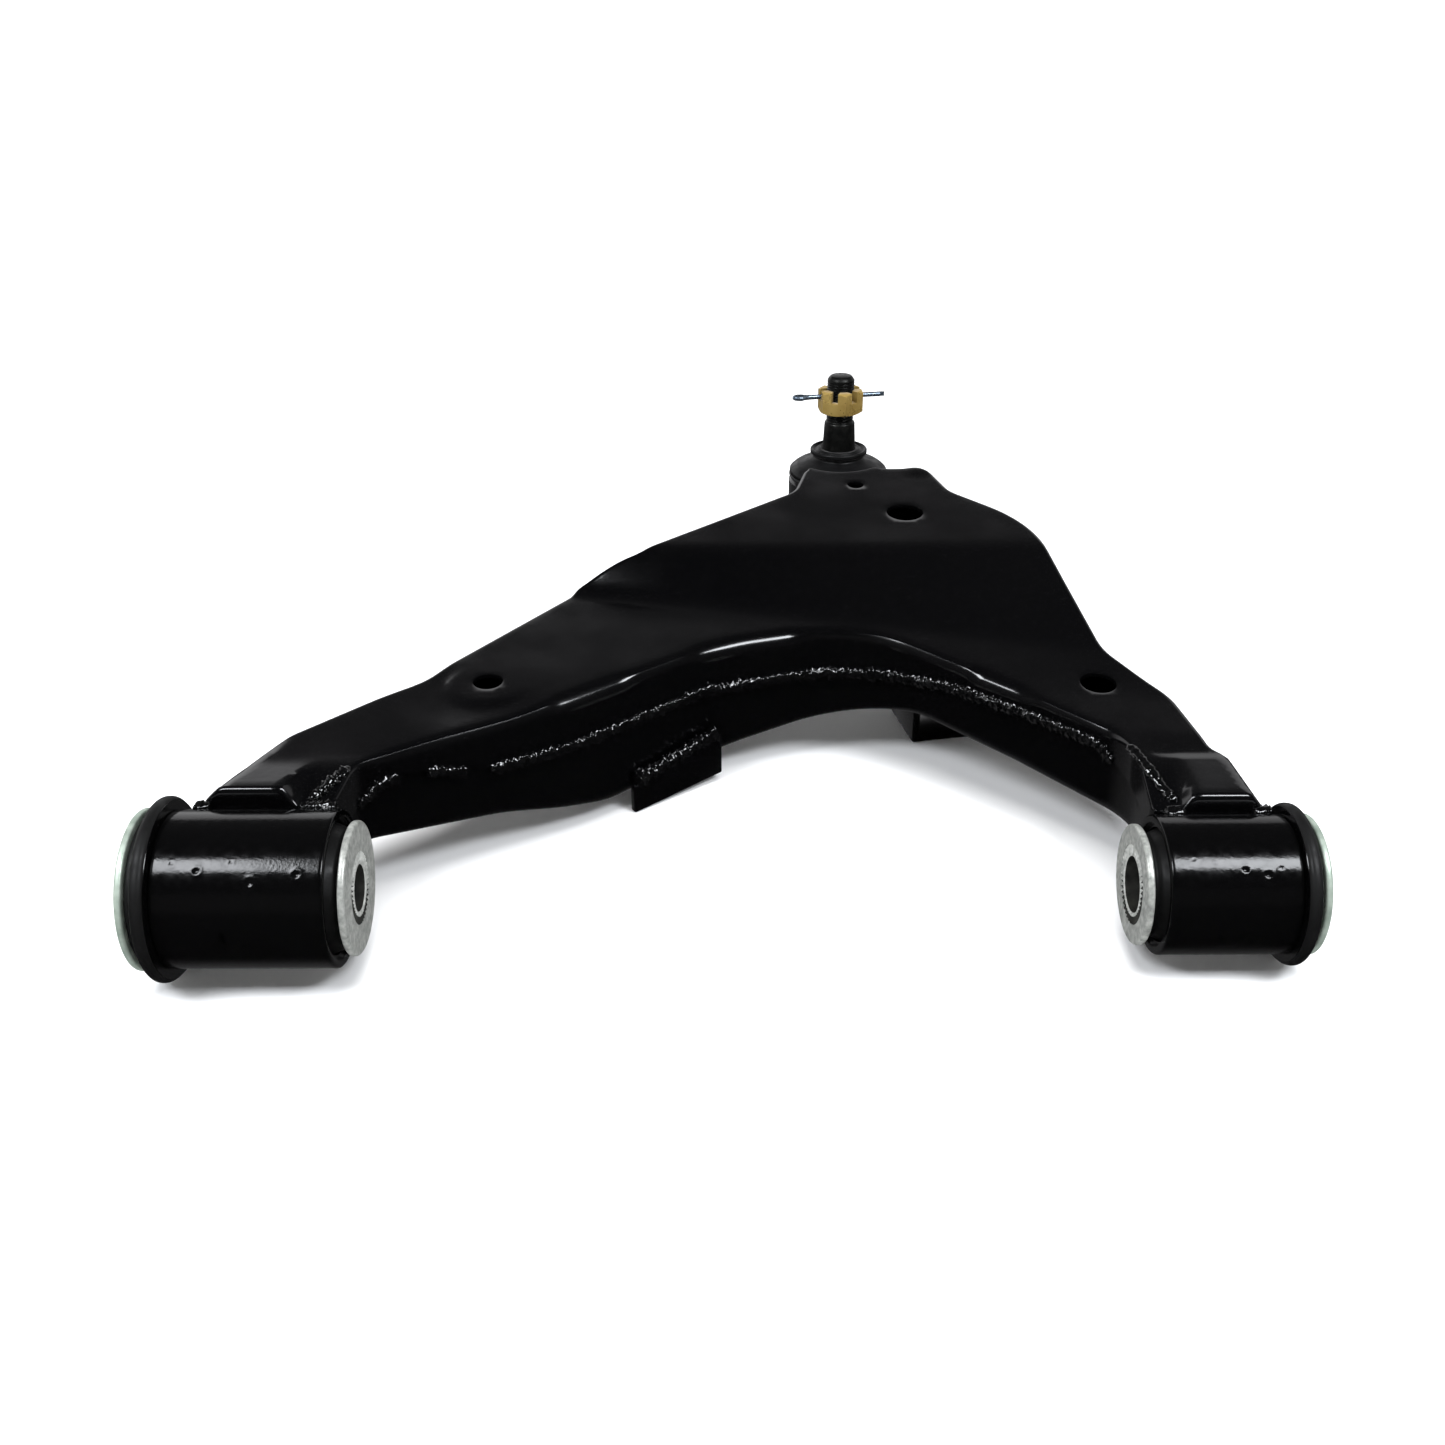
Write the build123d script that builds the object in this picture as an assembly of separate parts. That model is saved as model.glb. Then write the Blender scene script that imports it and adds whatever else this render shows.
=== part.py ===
from build123d import *
import os

# Front lower suspension control arm: two pressed shells welded along their walls, carried by two
# rubber bushings on one horizontal axis, with a ball joint at the outboard end.
# Millimetres. Origin: centre of the big bushing's bore. +X runs along the bushing axis to the
# small bushing, +Y points outboard to the ball joint, +Z is up.

# Driving dimensions
BUSH_SPACING = 410.0  # from one bushing centre to the other
BALL_X, BALL_Y, BALL_Z = 270.5, 345.0, 44.0  # centre of the ball joint's ball
SHEET = 3.5  # thickness of the pressed shells
LAP_GAP = 0.15  # gap between the upper shell's wall and the lower shell's wall inside it
LAP = 12.0  # how far the lower wall reaches up inside the upper wall
BEAD = 4.5  # height of a wall weld bead
TUBE_BEAD, TUBE_BEAD_WIDTH = 2.5, 5.0  # height and width of the beads on the tubes
TALL = 160.0  # half height of the blanks that shells are cut from

BIG = {
    "x": 0.0,
    "tube_od": 67.0,
    "tube_wall": 3.5,
    "tube": (-31.0, 39.0),  # tube ends, measured from the bushing's centre
    "ends": (46.5, 44.3),  # inboard and outboard faces, measured from the bushing's centre
    "flange_od": 78.5,
    "barrel_od": 67.0,
    "washer_od": {"inboard": 57.0, "outboard": 68.6},
    "core_od": 31.0,
    "bore": 20.0,
    "outboard": -1,  # side of the bushing that the flange is on
}
SMALL = {
    "x": BUSH_SPACING,
    "tube_od": 59.0,
    "tube_wall": 3.5,
    "tube": (-29.5, 24.5),
    "ends": (38.0, 35.6),
    "flange_od": 68.5,
    "barrel_od": 57.5,
    "washer_od": {"inboard": 51.0, "outboard": 59.6},
    "core_od": 34.0,
    "bore": 24.0,
    "outboard": 1,
}
WASHER = 3.0  # thickness of the bushing end washers
SLEEVE_WALL = 1.75  # outer sleeve of a bushing
SLEEVE_SHORT = 2.0  # how far the sleeve stops inside the tube's open end
FLANGE = 2.5  # thickness of the outer sleeve's flange
LIP = 3.5  # thickness of the rubber lip over the flange
TURN_GAP = 0.08  # radial running clearance between a turning core and its rubber
FACE_GAP = 0.3  # gap between a turning face and a fixed one
FIT_GAP = 0.02  # gap between parts of one body that are pressed together

# Outline of the upper shell seen from above, anticlockwise from the big tube, with corner radii
OUTLINE = [
    ((33, 20), 0),
    ((40.5, 42.5), 14),
    ((125.5, 94), 130),
    ((197, 149.5), 110),
    ((268, 170), 60),
    ((338.5, 109.5), 70),
    ((383, 65), 30),
    ((382, 17), 0),
    ((432, 17), 0),
    ((430, 48), 6),
    ((418.5, 60), 10),
    ((412, 104.5), 40),
    ((388, 145), 40),
    ((367.5, 253.5), 80),
    ((330.5, 290.5), 20),
    ((321, 321), 12),
    ((249, 321), 8),
    ((241, 290.5), 20),
    ((156, 219.7), 25),
    ((123, 207.5), 10),
    ((56.5, 116), 100),
    ((3.5, 66), 20),
    ((-6, 52), 12),
    ((-24, 20), 0),
]

# Heights of the top face along Y: the same stations for the big-bushing leg and the other leg
BIG_TOP = [(-20, 38), (20, 37.2), (47, 36), (118, 41), (207, 45), (219, 64.5), (320, 74), (420, 84)]
SMALL_TOP = [(-20, 33.8), (17, 33.4), (53, 33), (112, 36), (142, 41), (224, 64.5), (320, 74), (420, 84)]
# Height of the wall seam and of the lower shell's floor along X, for the part inboard of the riser
SEAM_AT = [
    (-80, 7), (33, 8), (41, 19), (50, 24.5), (64, 24), (76, 20), (93, 15), (132, 15), (166, 17), (188, 19),
    (205, 18), (237, 19), (270, 20), (298, 24), (312, 27), (374, 26.5), (381, 15), (500, 3),
]
FLOOR_AT = [(-80, -10), (40, -9), (95, -16), (142, -29), (199, -22), (250, -11), (300, 0), (342, -6), (500, -28)]
RISE_START, RISE_END, FAR_Y = 170.0, 236.0, 420.0  # stations of the riser on the seam and floor
SEAM_OUT, SEAM_FAR = 47.0, 56.0  # seam height just outboard of the riser, and at FAR_Y
FLOOR_OUT, FLOOR_FAR = 20.0, 28.0  # floor height just outboard of the riser, and at FAR_Y

# The tongue that ends each leg stands on its tube. Its flanks fall away on both sides, the inner one to
# a shelf. Three points on each plane.
OUTER_FLANKS = [
    ((-14.5, 20, 37), (1, 57, 37), (-22, 20, 29.5)),
    ((424, 17, 33), (422.5, 46, 33), (431, 17, 24)),
]
INNER_FLANKS = [
    (((13, 20, 37), (22, 44, 37), (18, 20, 27)), ((20, 22, 28.5), (38, 22, 28.5), (38, 44, 38))),
    (((398, 17, 33), (399, 45, 33), (394, 17, 25)), ((392, 17, 25.5), (380, 17, 25.5), (380, 50, 34))),
]

BIG_END, SMALL_END = 20.0, 17.0  # Y of each tongue's end
BIG_BEADS = [(-24, -18), (24, 37)]  # spans of X with a weld bead at the foot of each tongue
SMALL_BEADS = [(386, 395), (427, 433)]

# Holes in the upper shell: x, y, diameter
TOP_HOLES = [(277, 297.5, 9.0), (301.5, 262, 20.0), (379.5, 115, 17.0), (88.5, 112, 14.0)]
FLOOR_HOLES = [(301.5, 262, 24.0), (250, 205, 26.0)]
BOSS_D, BOSS_RISE = 44.0, 1.6  # round raised boss at the hole in the big-bushing leg

# Ball joint
SOCKET_OD, SOCKET_ID, SOCKET_Z = 59.0, 50.0, (22.0, 60.0)
SOCKET_BLOCK = [(247.5, 321.2), (319.5, 321.2), (319.5, 327), (299.5, 347), (241.5, 345)]
SOCKET_BLOCK_Z = (29.0, 50.0)
THREAD_D, STUD_TOP = 16.0, 122.0
TAPER_Z, TAPER_D = (75.5, 94.6), (19.8, 17.8)
BALL_D = 30.0
NUT_AF, NUT_Z, SLOT_DEPTH, SLOT_W = 24.0, (100.5, 114.0), 6.2, 4.2
NUT_TURN = 9.0  # angle that the nut stopped at, degrees
PIN_D, PIN_Z, PIN_LENGTH = 3.0, 109.8, 55.0
BOOT_TOP_Z = (74.8, 78.6)
BOOT_TOP_OD, BOOT_BASE_OD = 34.0, 58.2

joint_place = Pos(BALL_X, BALL_Y, 0)


def disc(x, y, z0, z1, diameter):
    """Upright cylinder between two heights."""
    return Pos(x, y, (z0 + z1) / 2) * Cylinder(diameter / 2, z1 - z0)


def rod_x(x0, x1, diameter):
    """Rod along the bushing axis between two stations."""
    return Pos(min(x0, x1), 0, 0) * extrude(Plane.YZ * Circle(diameter / 2), abs(x1 - x0))


def ring_x(x0, x1, outer, inner):
    """Ring about the bushing axis between two stations."""
    return rod_x(x0, x1, outer) - rod_x(x0, x1, inner)


def turned_z(profile):
    """Solid turned about the ball joint's upright axis from (radius, height) points."""
    points = [(radius, 0, height) for radius, height in profile]
    return joint_place * revolve(make_face(Polyline(*points, close=True)), Axis.Z)


def turned_x(x, profile):
    """Solid turned about the bushing axis from (station, radius) points."""
    points = [(station, radius, 0) for station, radius in profile]
    return Pos(x, 0, 0) * revolve(make_face(Polyline(*points, close=True)), Axis.X)


# Shells


def outline_face():
    points = [point for point, radius in OUTLINE]
    radii = [radius for point, radius in OUTLINE]
    return make_face(FilletPolyline(*points, radius=radii, close=True))


def blank(shift):
    """The outline, grown by shift, as a tall block without its socket notch."""
    notch = Pos(BALL_X, BALL_Y) * Circle(SOCKET_OD / 2 + FIT_GAP - shift)
    face = offset(outline_face(), amount=shift) if shift else outline_face()
    return Pos(0, 0, -TALL) * extrude(face - notch, 2 * TALL)


def surface_block(sections, low):
    """Solid between z = low and a ruled surface through sections of (y, z) points."""
    faces = []
    for x, line in sections:
        points = [(x, y, z) for y, z in line]
        points += [(x, line[-1][0], low), (x, line[0][0], low)]
        faces.append(make_face(Polyline(*points, close=True)))
    return loft(faces, ruled=True)


def above_plane(corners, drop):
    """Everything above the plane through three points, after it moves down square to itself by drop."""
    a, b, c = [Vector(*corner) for corner in corners]
    normal = (b - a).cross(c - a).normalized()
    if normal.Z < 0:
        normal = -normal
    return Plane(origin=a - normal * drop, z_dir=normal) * Pos(0, 0, TALL) * Box(4 * TALL, 4 * TALL, 2 * TALL)


def under_top(drop):
    """Everything below the top face, lowered by drop."""
    lines = [(-80, BIG_TOP), (120, BIG_TOP), (385, SMALL_TOP), (500, SMALL_TOP)]
    sections = [(x, [(y, z - drop) for y, z in line]) for x, line in lines]
    block = surface_block(sections, -TALL)
    for bush, outer, (inner, shelf) in zip((BIG, SMALL), OUTER_FLANKS, INNER_FLANKS):
        leg = Pos(bush["x"], 0, 0) * Box(BUSH_SPACING, 4 * TALL, 4 * TALL)
        block -= above_plane(outer, drop) & leg
        block -= above_plane(inner, drop) & above_plane(shelf, drop) & leg
    return block


def under_stations(stations, out, far, shift):
    """Everything below a surface that follows stations in X and rises outboard of the riser."""
    sections = []
    for x, z in stations:
        line = [(-60, z), (RISE_START, z), (RISE_END, out), (FAR_Y, far)]
        sections.append((x, [(y, height + shift) for y, height in line]))
    return surface_block(sections, -2 * TALL)


def below_seam(shift):
    return under_stations(SEAM_AT, SEAM_OUT, SEAM_FAR, shift)


def below_floor(shift):
    return under_stations(FLOOR_AT, FLOOR_OUT, FLOOR_FAR, shift)


def clear_of_tubes(shape):
    """Cut the seats where a shell lands on the two bushing tubes."""
    for bush in (BIG, SMALL):
        shape -= rod_x(bush["x"] - 80, bush["x"] + 80, bush["tube_od"] + 2 * FIT_GAP)
    return shape


def largest(shape):
    """The biggest solid of a cut, without its loose crumbs."""
    return max(shape.solids(), key=lambda solid: solid.volume)


def upper_shell():
    outer = blank(0) & under_top(0)
    hole_x, hole_y, hole_d = TOP_HOLES[-1]
    outer += disc(hole_x, hole_y, 30, 41 + BOSS_RISE, BOSS_D)
    shell = outer - (blank(-SHEET) & under_top(SHEET))
    shell -= below_seam(0)
    shell = clear_of_tubes(shell)
    for x, y, diameter in TOP_HOLES:
        shell -= disc(x, y, 25, 90, diameter)
    return largest(shell)


def lower_shell():
    inset = SHEET + LAP_GAP
    outer = (blank(-inset) & below_seam(LAP) & under_top(SHEET + 2 * LAP_GAP)) - below_floor(0)
    inner = blank(-inset - SHEET) - below_floor(SHEET)
    shell = clear_of_tubes(outer - inner)
    for x, y, diameter in FLOOR_HOLES:
        shell -= disc(x, y, -60, 60, diameter)
    return largest(shell)


def seam_beads():
    """Fillet of weld under the upper shell's edge, split where the arch and the outside meet."""
    band = (blank(-0.5) - blank(-SHEET - LAP_GAP + 0.02)) & below_seam(-0.02)
    band = clear_of_tubes(band - below_seam(-BEAD))
    arch = Pos(205, 60, 0) * Box(345, 240, 2 * TALL)
    reach = disc(BALL_X, BALL_Y, -TALL, TALL, SOCKET_OD + 3)
    inner = band & arch
    outer = band - arch - reach
    return inner, outer


# Bushings


def bush_parts(name, bush):
    """Every piece of one bushing, tube included. The flange is on the outboard side."""
    x, side = bush["x"], bush["outboard"]
    low, high = bush["tube"]
    flange_end = low if side < 0 else high
    open_end = high if side < 0 else low
    sleeve_od = bush["tube_od"] - 2 * bush["tube_wall"]
    sleeve_id = sleeve_od - 2 * SLEEVE_WALL
    inboard_end, outboard_end = bush["ends"]
    core_r = bush["core_od"] / 2
    gap = FIT_GAP

    tube = ring_x(x + low, x + high, bush["tube_od"], sleeve_od + 2 * gap)
    flange_face = flange_end + side * (gap + FLANGE)
    sleeve = turned_x(x, [
        (flange_face, sleeve_id / 2),
        (flange_face, bush["flange_od"] / 2 - 1.5),
        (flange_end + side * gap, bush["flange_od"] / 2 - 1.5),
        (flange_end + side * gap, sleeve_od / 2),
        (open_end + side * SLEEVE_SHORT, sleeve_od / 2),
        (open_end + side * SLEEVE_SHORT, sleeve_id / 2),
    ])
    lip_face = flange_face + side * LIP
    barrel_end = side * (outboard_end - WASHER - FACE_GAP)
    cone_end = -side * (inboard_end - WASHER - FACE_GAP)
    rubber = turned_x(x, [
        (cone_end, core_r + TURN_GAP),
        (cone_end, core_r + 6),
        (open_end - side * 2.2, sleeve_id / 2 - 3),
        (open_end + side * 4.0, sleeve_id / 2 - gap),
        (flange_face + side * gap, sleeve_id / 2 - gap),
        (flange_face + side * gap, bush["flange_od"] / 2),
        (lip_face - side * 1.0, bush["flange_od"] / 2),
        (lip_face, bush["flange_od"] / 2 - 1.0),
        (lip_face, bush["barrel_od"] / 2 - 1.5),
        (barrel_end - side * 1.5, bush["barrel_od"] / 2),
        (barrel_end, bush["barrel_od"] / 2 - 1.5),
        (barrel_end, core_r + TURN_GAP),
    ])
    core = ring_x(x - side * inboard_end, x + side * outboard_end, bush["core_od"], bush["bore"])
    washers = {}
    for label, direction, end in (("inboard", -side, inboard_end), ("outboard", side, outboard_end)):
        outer_face = x + direction * end
        inner_face = outer_face - direction * WASHER
        washer = ring_x(inner_face, outer_face, bush["washer_od"][label], bush["core_od"] + 2 * gap)
        rims = washer.edges().filter_by(GeomType.CIRCLE).sort_by(SortBy.RADIUS)[-2:]
        washers[f"{name}_bush_{label}_washer"] = fillet(rims, 0.8)
    return {
        f"{name}_bush_tube": tube,
        f"{name}_bush_outer_sleeve": sleeve,
        f"{name}_bush_rubber": rubber,
        f"{name}_bush_core": core,
        **washers,
    }


def tongue_weld(bush, spans, end_y):
    """Beads on the tube along the foot of a tongue, one for each span of X."""
    weld = Part()
    for x0, x1 in spans:
        bead = ring_x(x0, x1, bush["tube_od"] + 2 * TUBE_BEAD, bush["tube_od"] + 2 * FIT_GAP)
        y = end_y - FIT_GAP - TUBE_BEAD_WIDTH / 2
        weld += bead & Pos((x0 + x1) / 2, y, TALL / 2) * Box(x1 - x0, TUBE_BEAD_WIDTH, TALL)
    return weld


# Brackets

WALL_BRACKET_FOOT = ((153.7, 119.2), (197.3, 150.9))  # line along the lower shell's wall
WALL_BRACKET = 4.0  # its thickness
CHANNEL_AT = (302.0, 181.0)  # near corner of the channel under the arm
CHANNEL = (44.0, 38.0, 4.0)  # width, length and thickness of the channel
CHANNEL_FOOT = -33.0


def bracket_plane():
    (x0, y0), (x1, y1) = WALL_BRACKET_FOOT
    along = Vector(x1 - x0, y1 - y0, 0)
    return Plane(origin=(x0, y0, 0), x_dir=along, z_dir=along.cross(Vector(0, 0, 1))), along.length


def bracket_prism(corners, thickness):
    plane, length = bracket_plane()
    points = [(share * length, z) for share, z in corners]
    return plane * extrude(make_face(Polyline(*points, close=True)), thickness)


def wall_bracket():
    """Flat plate on the inner wall whose foot is the inboard resting point of the arm."""
    return bracket_prism([(0, -36), (1, -31), (1, -9), (0, -21)], WALL_BRACKET)


def wall_bracket_weld():
    """Bead along the plate's slanting top edge."""
    rise = FIT_GAP
    return bracket_prism([(0.04, -20.5 + rise), (0.97, -9.3 + rise), (0.97, -5.8), (0.04, -17)], WALL_BRACKET - 0.8)


def above_floor():
    return Pos(300, 200, 0) * Box(300, 300, 4 * TALL) - below_floor(-FIT_GAP)


def underside_bracket():
    """Channel under the lower shell whose base is the outboard resting point of the arm."""
    width, length, wall = CHANNEL
    height = 60.0
    outer = Pos(width / 2, CHANNEL_FOOT + height / 2) * Rectangle(width, height)
    inner = Pos(width / 2, CHANNEL_FOOT + wall + height / 2) * Rectangle(width - 2 * wall, height)
    plane = Plane(origin=(*CHANNEL_AT, 0), x_dir=(1, 0.2, 0), z_dir=(0.2, -1, 0))
    return largest(plane * extrude(outer - inner, -length) - above_floor())


# Ball joint


def socket_forging():
    """Ring that the ball joint is pressed into, with the block that ties it to the shells' end."""
    ring = disc(BALL_X, BALL_Y, *SOCKET_Z, SOCKET_OD)
    rims = ring.edges().filter_by(GeomType.CIRCLE)
    ring = chamfer(rims, 1.2)
    block = make_face(Polyline(*SOCKET_BLOCK, close=True))
    ring += Pos(0, 0, SOCKET_BLOCK_Z[0]) * extrude(block, SOCKET_BLOCK_Z[1] - SOCKET_BLOCK_Z[0])
    return ring - disc(BALL_X, BALL_Y, 0, 100, SOCKET_ID + 2 * FIT_GAP)


def housing():
    """Cup pressed into the socket ring, with a shoulder, a boot groove and a mouth for the stud."""
    body = SOCKET_ID / 2
    seat = BALL_D / 2 + 3.0
    cup = turned_z([
        (seat + FIT_GAP, 24.0),
        (body - 3.5, 24.0),
        (body - 3.5, 16.0),
        (body, 16.0),
        (body, 60.0 + FIT_GAP),
        (28.0, 60.0 + FIT_GAP),
        (28.0, 61.0),
        (24.0, 61.0),
        (24.0, 63.8),
        (25.5, 63.8),
        (25.5, 65.2),
        (15.8, 65.2),
        (13.6, 60.0),
        (seat + FIT_GAP, 54.0 + FIT_GAP),
    ])
    groove = disc(BALL_X, BALL_Y, 19.6, 21.8, SOCKET_ID + 4) - disc(BALL_X, BALL_Y, 19, 22, SOCKET_ID - 3)
    return cup - groove


def cover_plate():
    return turned_z([(0, 20.5), (15, 20.5), (18, 22.0), (21.4, 22.0), (21.4, 24 - FIT_GAP), (0, 24 - FIT_GAP)])


def retaining_ring():
    """Open spring ring in the housing's groove, under the socket ring."""
    ring = disc(BALL_X, BALL_Y, 19.65, 21.75, SOCKET_ID + 5.5) - disc(BALL_X, BALL_Y, 19, 22, SOCKET_ID - 2.6)
    return ring - Pos(BALL_X, BALL_Y + SOCKET_ID / 2, 20.7) * Box(7, 12, 4)


def bearing_seat():
    """Polymer liner round the ball."""
    seat = BALL_D / 2 + 3.0
    liner = disc(BALL_X, BALL_Y, 24.0, 54.0, 2 * seat)
    liner -= Pos(BALL_X, BALL_Y, BALL_Z) * Sphere(BALL_D / 2 + TURN_GAP)
    return liner - disc(BALL_X, BALL_Y, BALL_Z, 60.0, BALL_D * 0.93)


def boot_clamp():
    """Wire ring that holds the boot's base in the housing's groove."""
    wire = revolve(Plane.XZ * Pos(BOOT_BASE_OD / 2 - 0.35, 62.4) * Circle(0.7), Axis.Z)
    return joint_place * wire


def dust_boot():
    """Rubber boot: base cuff on the housing, hollow flared wall, top cuff on the stud."""
    base = BOOT_BASE_OD / 2
    outer = [
        (24.2, 61.2),
        (base - 1.5, 61.2),
        (base - 1.2, 63.3),
        (base, 64.0),
        (base - 0.3, 65.2),
        (base - 2.5, 67.4),
        (25.0, 69.0),
        (18.4, 71.4),
        (15.2, 73.2),
        (15.0, BOOT_TOP_Z[0] - 0.2),
    ]
    inner = [
        (10.8, BOOT_TOP_Z[0] - 0.2),
        (12.8, 73.0),
        (16.4, 69.8),
        (23.4, 67.2),
        (26.6, 66.0),
        (25.8, 65.4),
        (25.8, 63.6),
        (24.2, 63.6),
    ]
    return turned_z(outer + inner)


def boot_top_ring():
    """Stiffened top cuff of the boot, which tilts with the stud but lets it turn."""
    low, high = BOOT_TOP_Z
    inner = TAPER_D[0] / 2 + 0.3
    return turned_z([
        (inner + 0.5, low),
        (15.2, low),
        (BOOT_TOP_OD / 2, low + 1.0),
        (BOOT_TOP_OD / 2, high - 1.2),
        (16.4, high - 0.4),
        (15.4, high - 0.8),
        (14.4, high - 1.6),
        (13.2, high - 1.2),
        (12.2, high),
        (inner + 0.4, high),
        (inner, high - 0.6),
        (inner, low + 0.6),
    ])


def ball_stud():
    neck = 7.0
    ball_r = BALL_D / 2
    shank = turned_z([
        (0, BALL_Z),
        (neck, BALL_Z),
        (neck, 69.0),
        (TAPER_D[0] / 2 - 0.4, TAPER_Z[0] - 2.5),
        (TAPER_D[0] / 2, TAPER_Z[0]),
        (TAPER_D[1] / 2, TAPER_Z[1]),
        (THREAD_D / 2, TAPER_Z[1] + 0.8),
        (THREAD_D / 2, STUD_TOP - 2.2),
        (THREAD_D / 2 - 1.2, STUD_TOP - 0.3),
        (THREAD_D / 2 - 2.0, STUD_TOP),
        (0, STUD_TOP),
    ])
    ball = Pos(BALL_X, BALL_Y, BALL_Z) * Sphere(ball_r)
    ball -= disc(BALL_X, BALL_Y, 0, BALL_Z - ball_r * 0.82, BALL_D)
    stud = shank + ball
    hole = Pos(BALL_X, BALL_Y, PIN_Z) * Rot(0, 0, NUT_TURN) * Rot(0, 90, 0) * Cylinder(PIN_D / 2 + 0.6, 2 * THREAD_D)
    return stud - hole


def castle_nut():
    low, high = NUT_Z
    flats = Pos(0, 0, low) * extrude(RegularPolygon(NUT_AF / 2, 6, major_radius=False), high - low)
    cone = revolve(make_face(Polyline(
        (0, 0, low),
        (NUT_AF / 2 - 0.4, 0, low),
        (NUT_AF / 2 + 2.2, 0, low + 1.6),
        (NUT_AF / 2 + 2.2, 0, high - 1.4),
        (NUT_AF / 2 - 0.2, 0, high),
        (0, 0, high),
        close=True,
    )), Axis.Z)
    nut = (flats & cone) - Pos(0, 0, (low + high) / 2) * Cylinder(THREAD_D / 2 + FIT_GAP, 2 * (high - low))
    for turn in range(3):
        slot = Box(2 * NUT_AF, SLOT_W, 2 * SLOT_DEPTH)
        nut -= Rot(0, 0, 30 + 60 * turn) * Pos(0, 0, high) * slot
    return joint_place * Rot(0, 0, NUT_TURN - 30) * nut


def cotter_pin():
    """Split pin through the stud's hole and two of the nut's slots: an eye and two straight legs."""
    eye_x = -PIN_LENGTH / 2 + 4.0
    leg_r = PIN_D / 2
    legs = Pos(2.5, 0, 0) * Rot(0, 90, 0) * Cylinder(leg_r, PIN_LENGTH - 8.0)
    legs -= Pos(2.5, 0, 0) * Box(PIN_LENGTH, 3 * PIN_D, 0.3) - Pos(-PIN_LENGTH / 2, 0, 0) * Box(12, 9, 3)
    eye = Pos(eye_x - 1.0, 0, 0) * Rot(90, 0, 0) * Torus(2.6, 1.3)
    return Pos(BALL_X, BALL_Y, PIN_Z) * Rot(0, 0, NUT_TURN) * (legs + eye)


def build():
    arch_bead, outside_bead = seam_beads()
    nodes = {
        "upper_shell": upper_shell(),
        "lower_shell": lower_shell(),
        "arch_seam_weld": arch_bead,
        "outside_seam_weld": outside_bead,
        "wall_bracket": wall_bracket(),
        "wall_bracket_weld": wall_bracket_weld(),
        "underside_bracket": underside_bracket(),
        "big_tube_weld": tongue_weld(BIG, BIG_BEADS, BIG_END),
        "small_tube_weld": tongue_weld(SMALL, SMALL_BEADS, SMALL_END),
        "ball_joint_socket": socket_forging(),
        "ball_joint_housing": housing(),
        "ball_joint_cover": cover_plate(),
        "retaining_ring": retaining_ring(),
        "bearing_seat": bearing_seat(),
        "boot_clamp_ring": boot_clamp(),
        "dust_boot": dust_boot(),
        "boot_top_ring": boot_top_ring(),
        "ball_stud": ball_stud(),
        "castle_nut": castle_nut(),
        "cotter_pin": cotter_pin(),
    }
    nodes.update(bush_parts("big", BIG))
    nodes.update(bush_parts("small", SMALL))
    return nodes


os.makedirs("parts", exist_ok=True)
for name, shape in build().items():
    export_step(shape, f"parts/{name}.step")
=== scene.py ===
import math

import bpy
import numpy as np
from mathutils import Matrix, Vector, noise
from mathutils.geometry import delaunay_2d_cdt


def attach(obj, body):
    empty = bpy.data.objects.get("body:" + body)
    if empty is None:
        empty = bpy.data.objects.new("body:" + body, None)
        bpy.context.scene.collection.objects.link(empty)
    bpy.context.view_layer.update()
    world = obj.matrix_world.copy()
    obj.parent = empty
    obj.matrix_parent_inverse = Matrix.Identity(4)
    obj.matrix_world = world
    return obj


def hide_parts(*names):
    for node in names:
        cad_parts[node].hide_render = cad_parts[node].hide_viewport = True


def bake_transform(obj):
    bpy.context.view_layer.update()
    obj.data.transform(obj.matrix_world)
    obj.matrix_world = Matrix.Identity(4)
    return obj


# Control arm: two pressed shells welded along their walls, two rubber bushings and a ball joint.
# Shapes are worked out in millimetres in the CAD frame: origin at the big bushing's centre, +X along the
# bushing axis, +Y outboard, +Z up. They are written to Blender in metres.

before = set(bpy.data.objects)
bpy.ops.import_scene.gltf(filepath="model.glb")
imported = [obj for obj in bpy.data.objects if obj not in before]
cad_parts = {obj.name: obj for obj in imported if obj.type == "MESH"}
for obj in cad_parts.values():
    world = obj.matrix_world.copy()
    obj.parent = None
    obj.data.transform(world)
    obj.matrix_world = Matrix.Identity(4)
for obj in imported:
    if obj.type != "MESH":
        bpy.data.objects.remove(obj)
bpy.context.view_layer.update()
MM = 0.001

# Mesh tools


def link(name, data):
    """A new object in the scene."""
    made = bpy.data.objects.new(name, data)
    bpy.context.scene.collection.objects.link(made)
    return made


def smooth(mesh, crease=38.0):
    """Smooth shading with sharp edges where faces meet at more than the crease angle."""
    mesh.shade_smooth()
    mesh.set_sharp_from_angle(angle=math.radians(crease))


def apply_modifiers(piece):
    """Makes a piece's modifiers part of its mesh."""
    graph = bpy.context.evaluated_depsgraph_get()
    mesh = bpy.data.meshes.new_from_object(piece.evaluated_get(graph))
    piece.modifiers.clear()
    piece.data = mesh
    return mesh


def add_piece(name, points, faces, material, body, replaced=(), crease=38.0):
    """A mesh from millimetre points that rides on a CAD body and stands for some CAD nodes."""
    mesh = bpy.data.meshes.new(name)
    mesh.from_pydata([tuple(p) for p in np.asarray(points, float) * MM], [], faces)
    mesh.validate()
    smooth(mesh, crease)
    mesh.materials.append(material)
    piece = link(name, mesh)
    if body is not None:
        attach(piece, body)
    if replaced:
        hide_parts(*replaced)
    return piece


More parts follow.
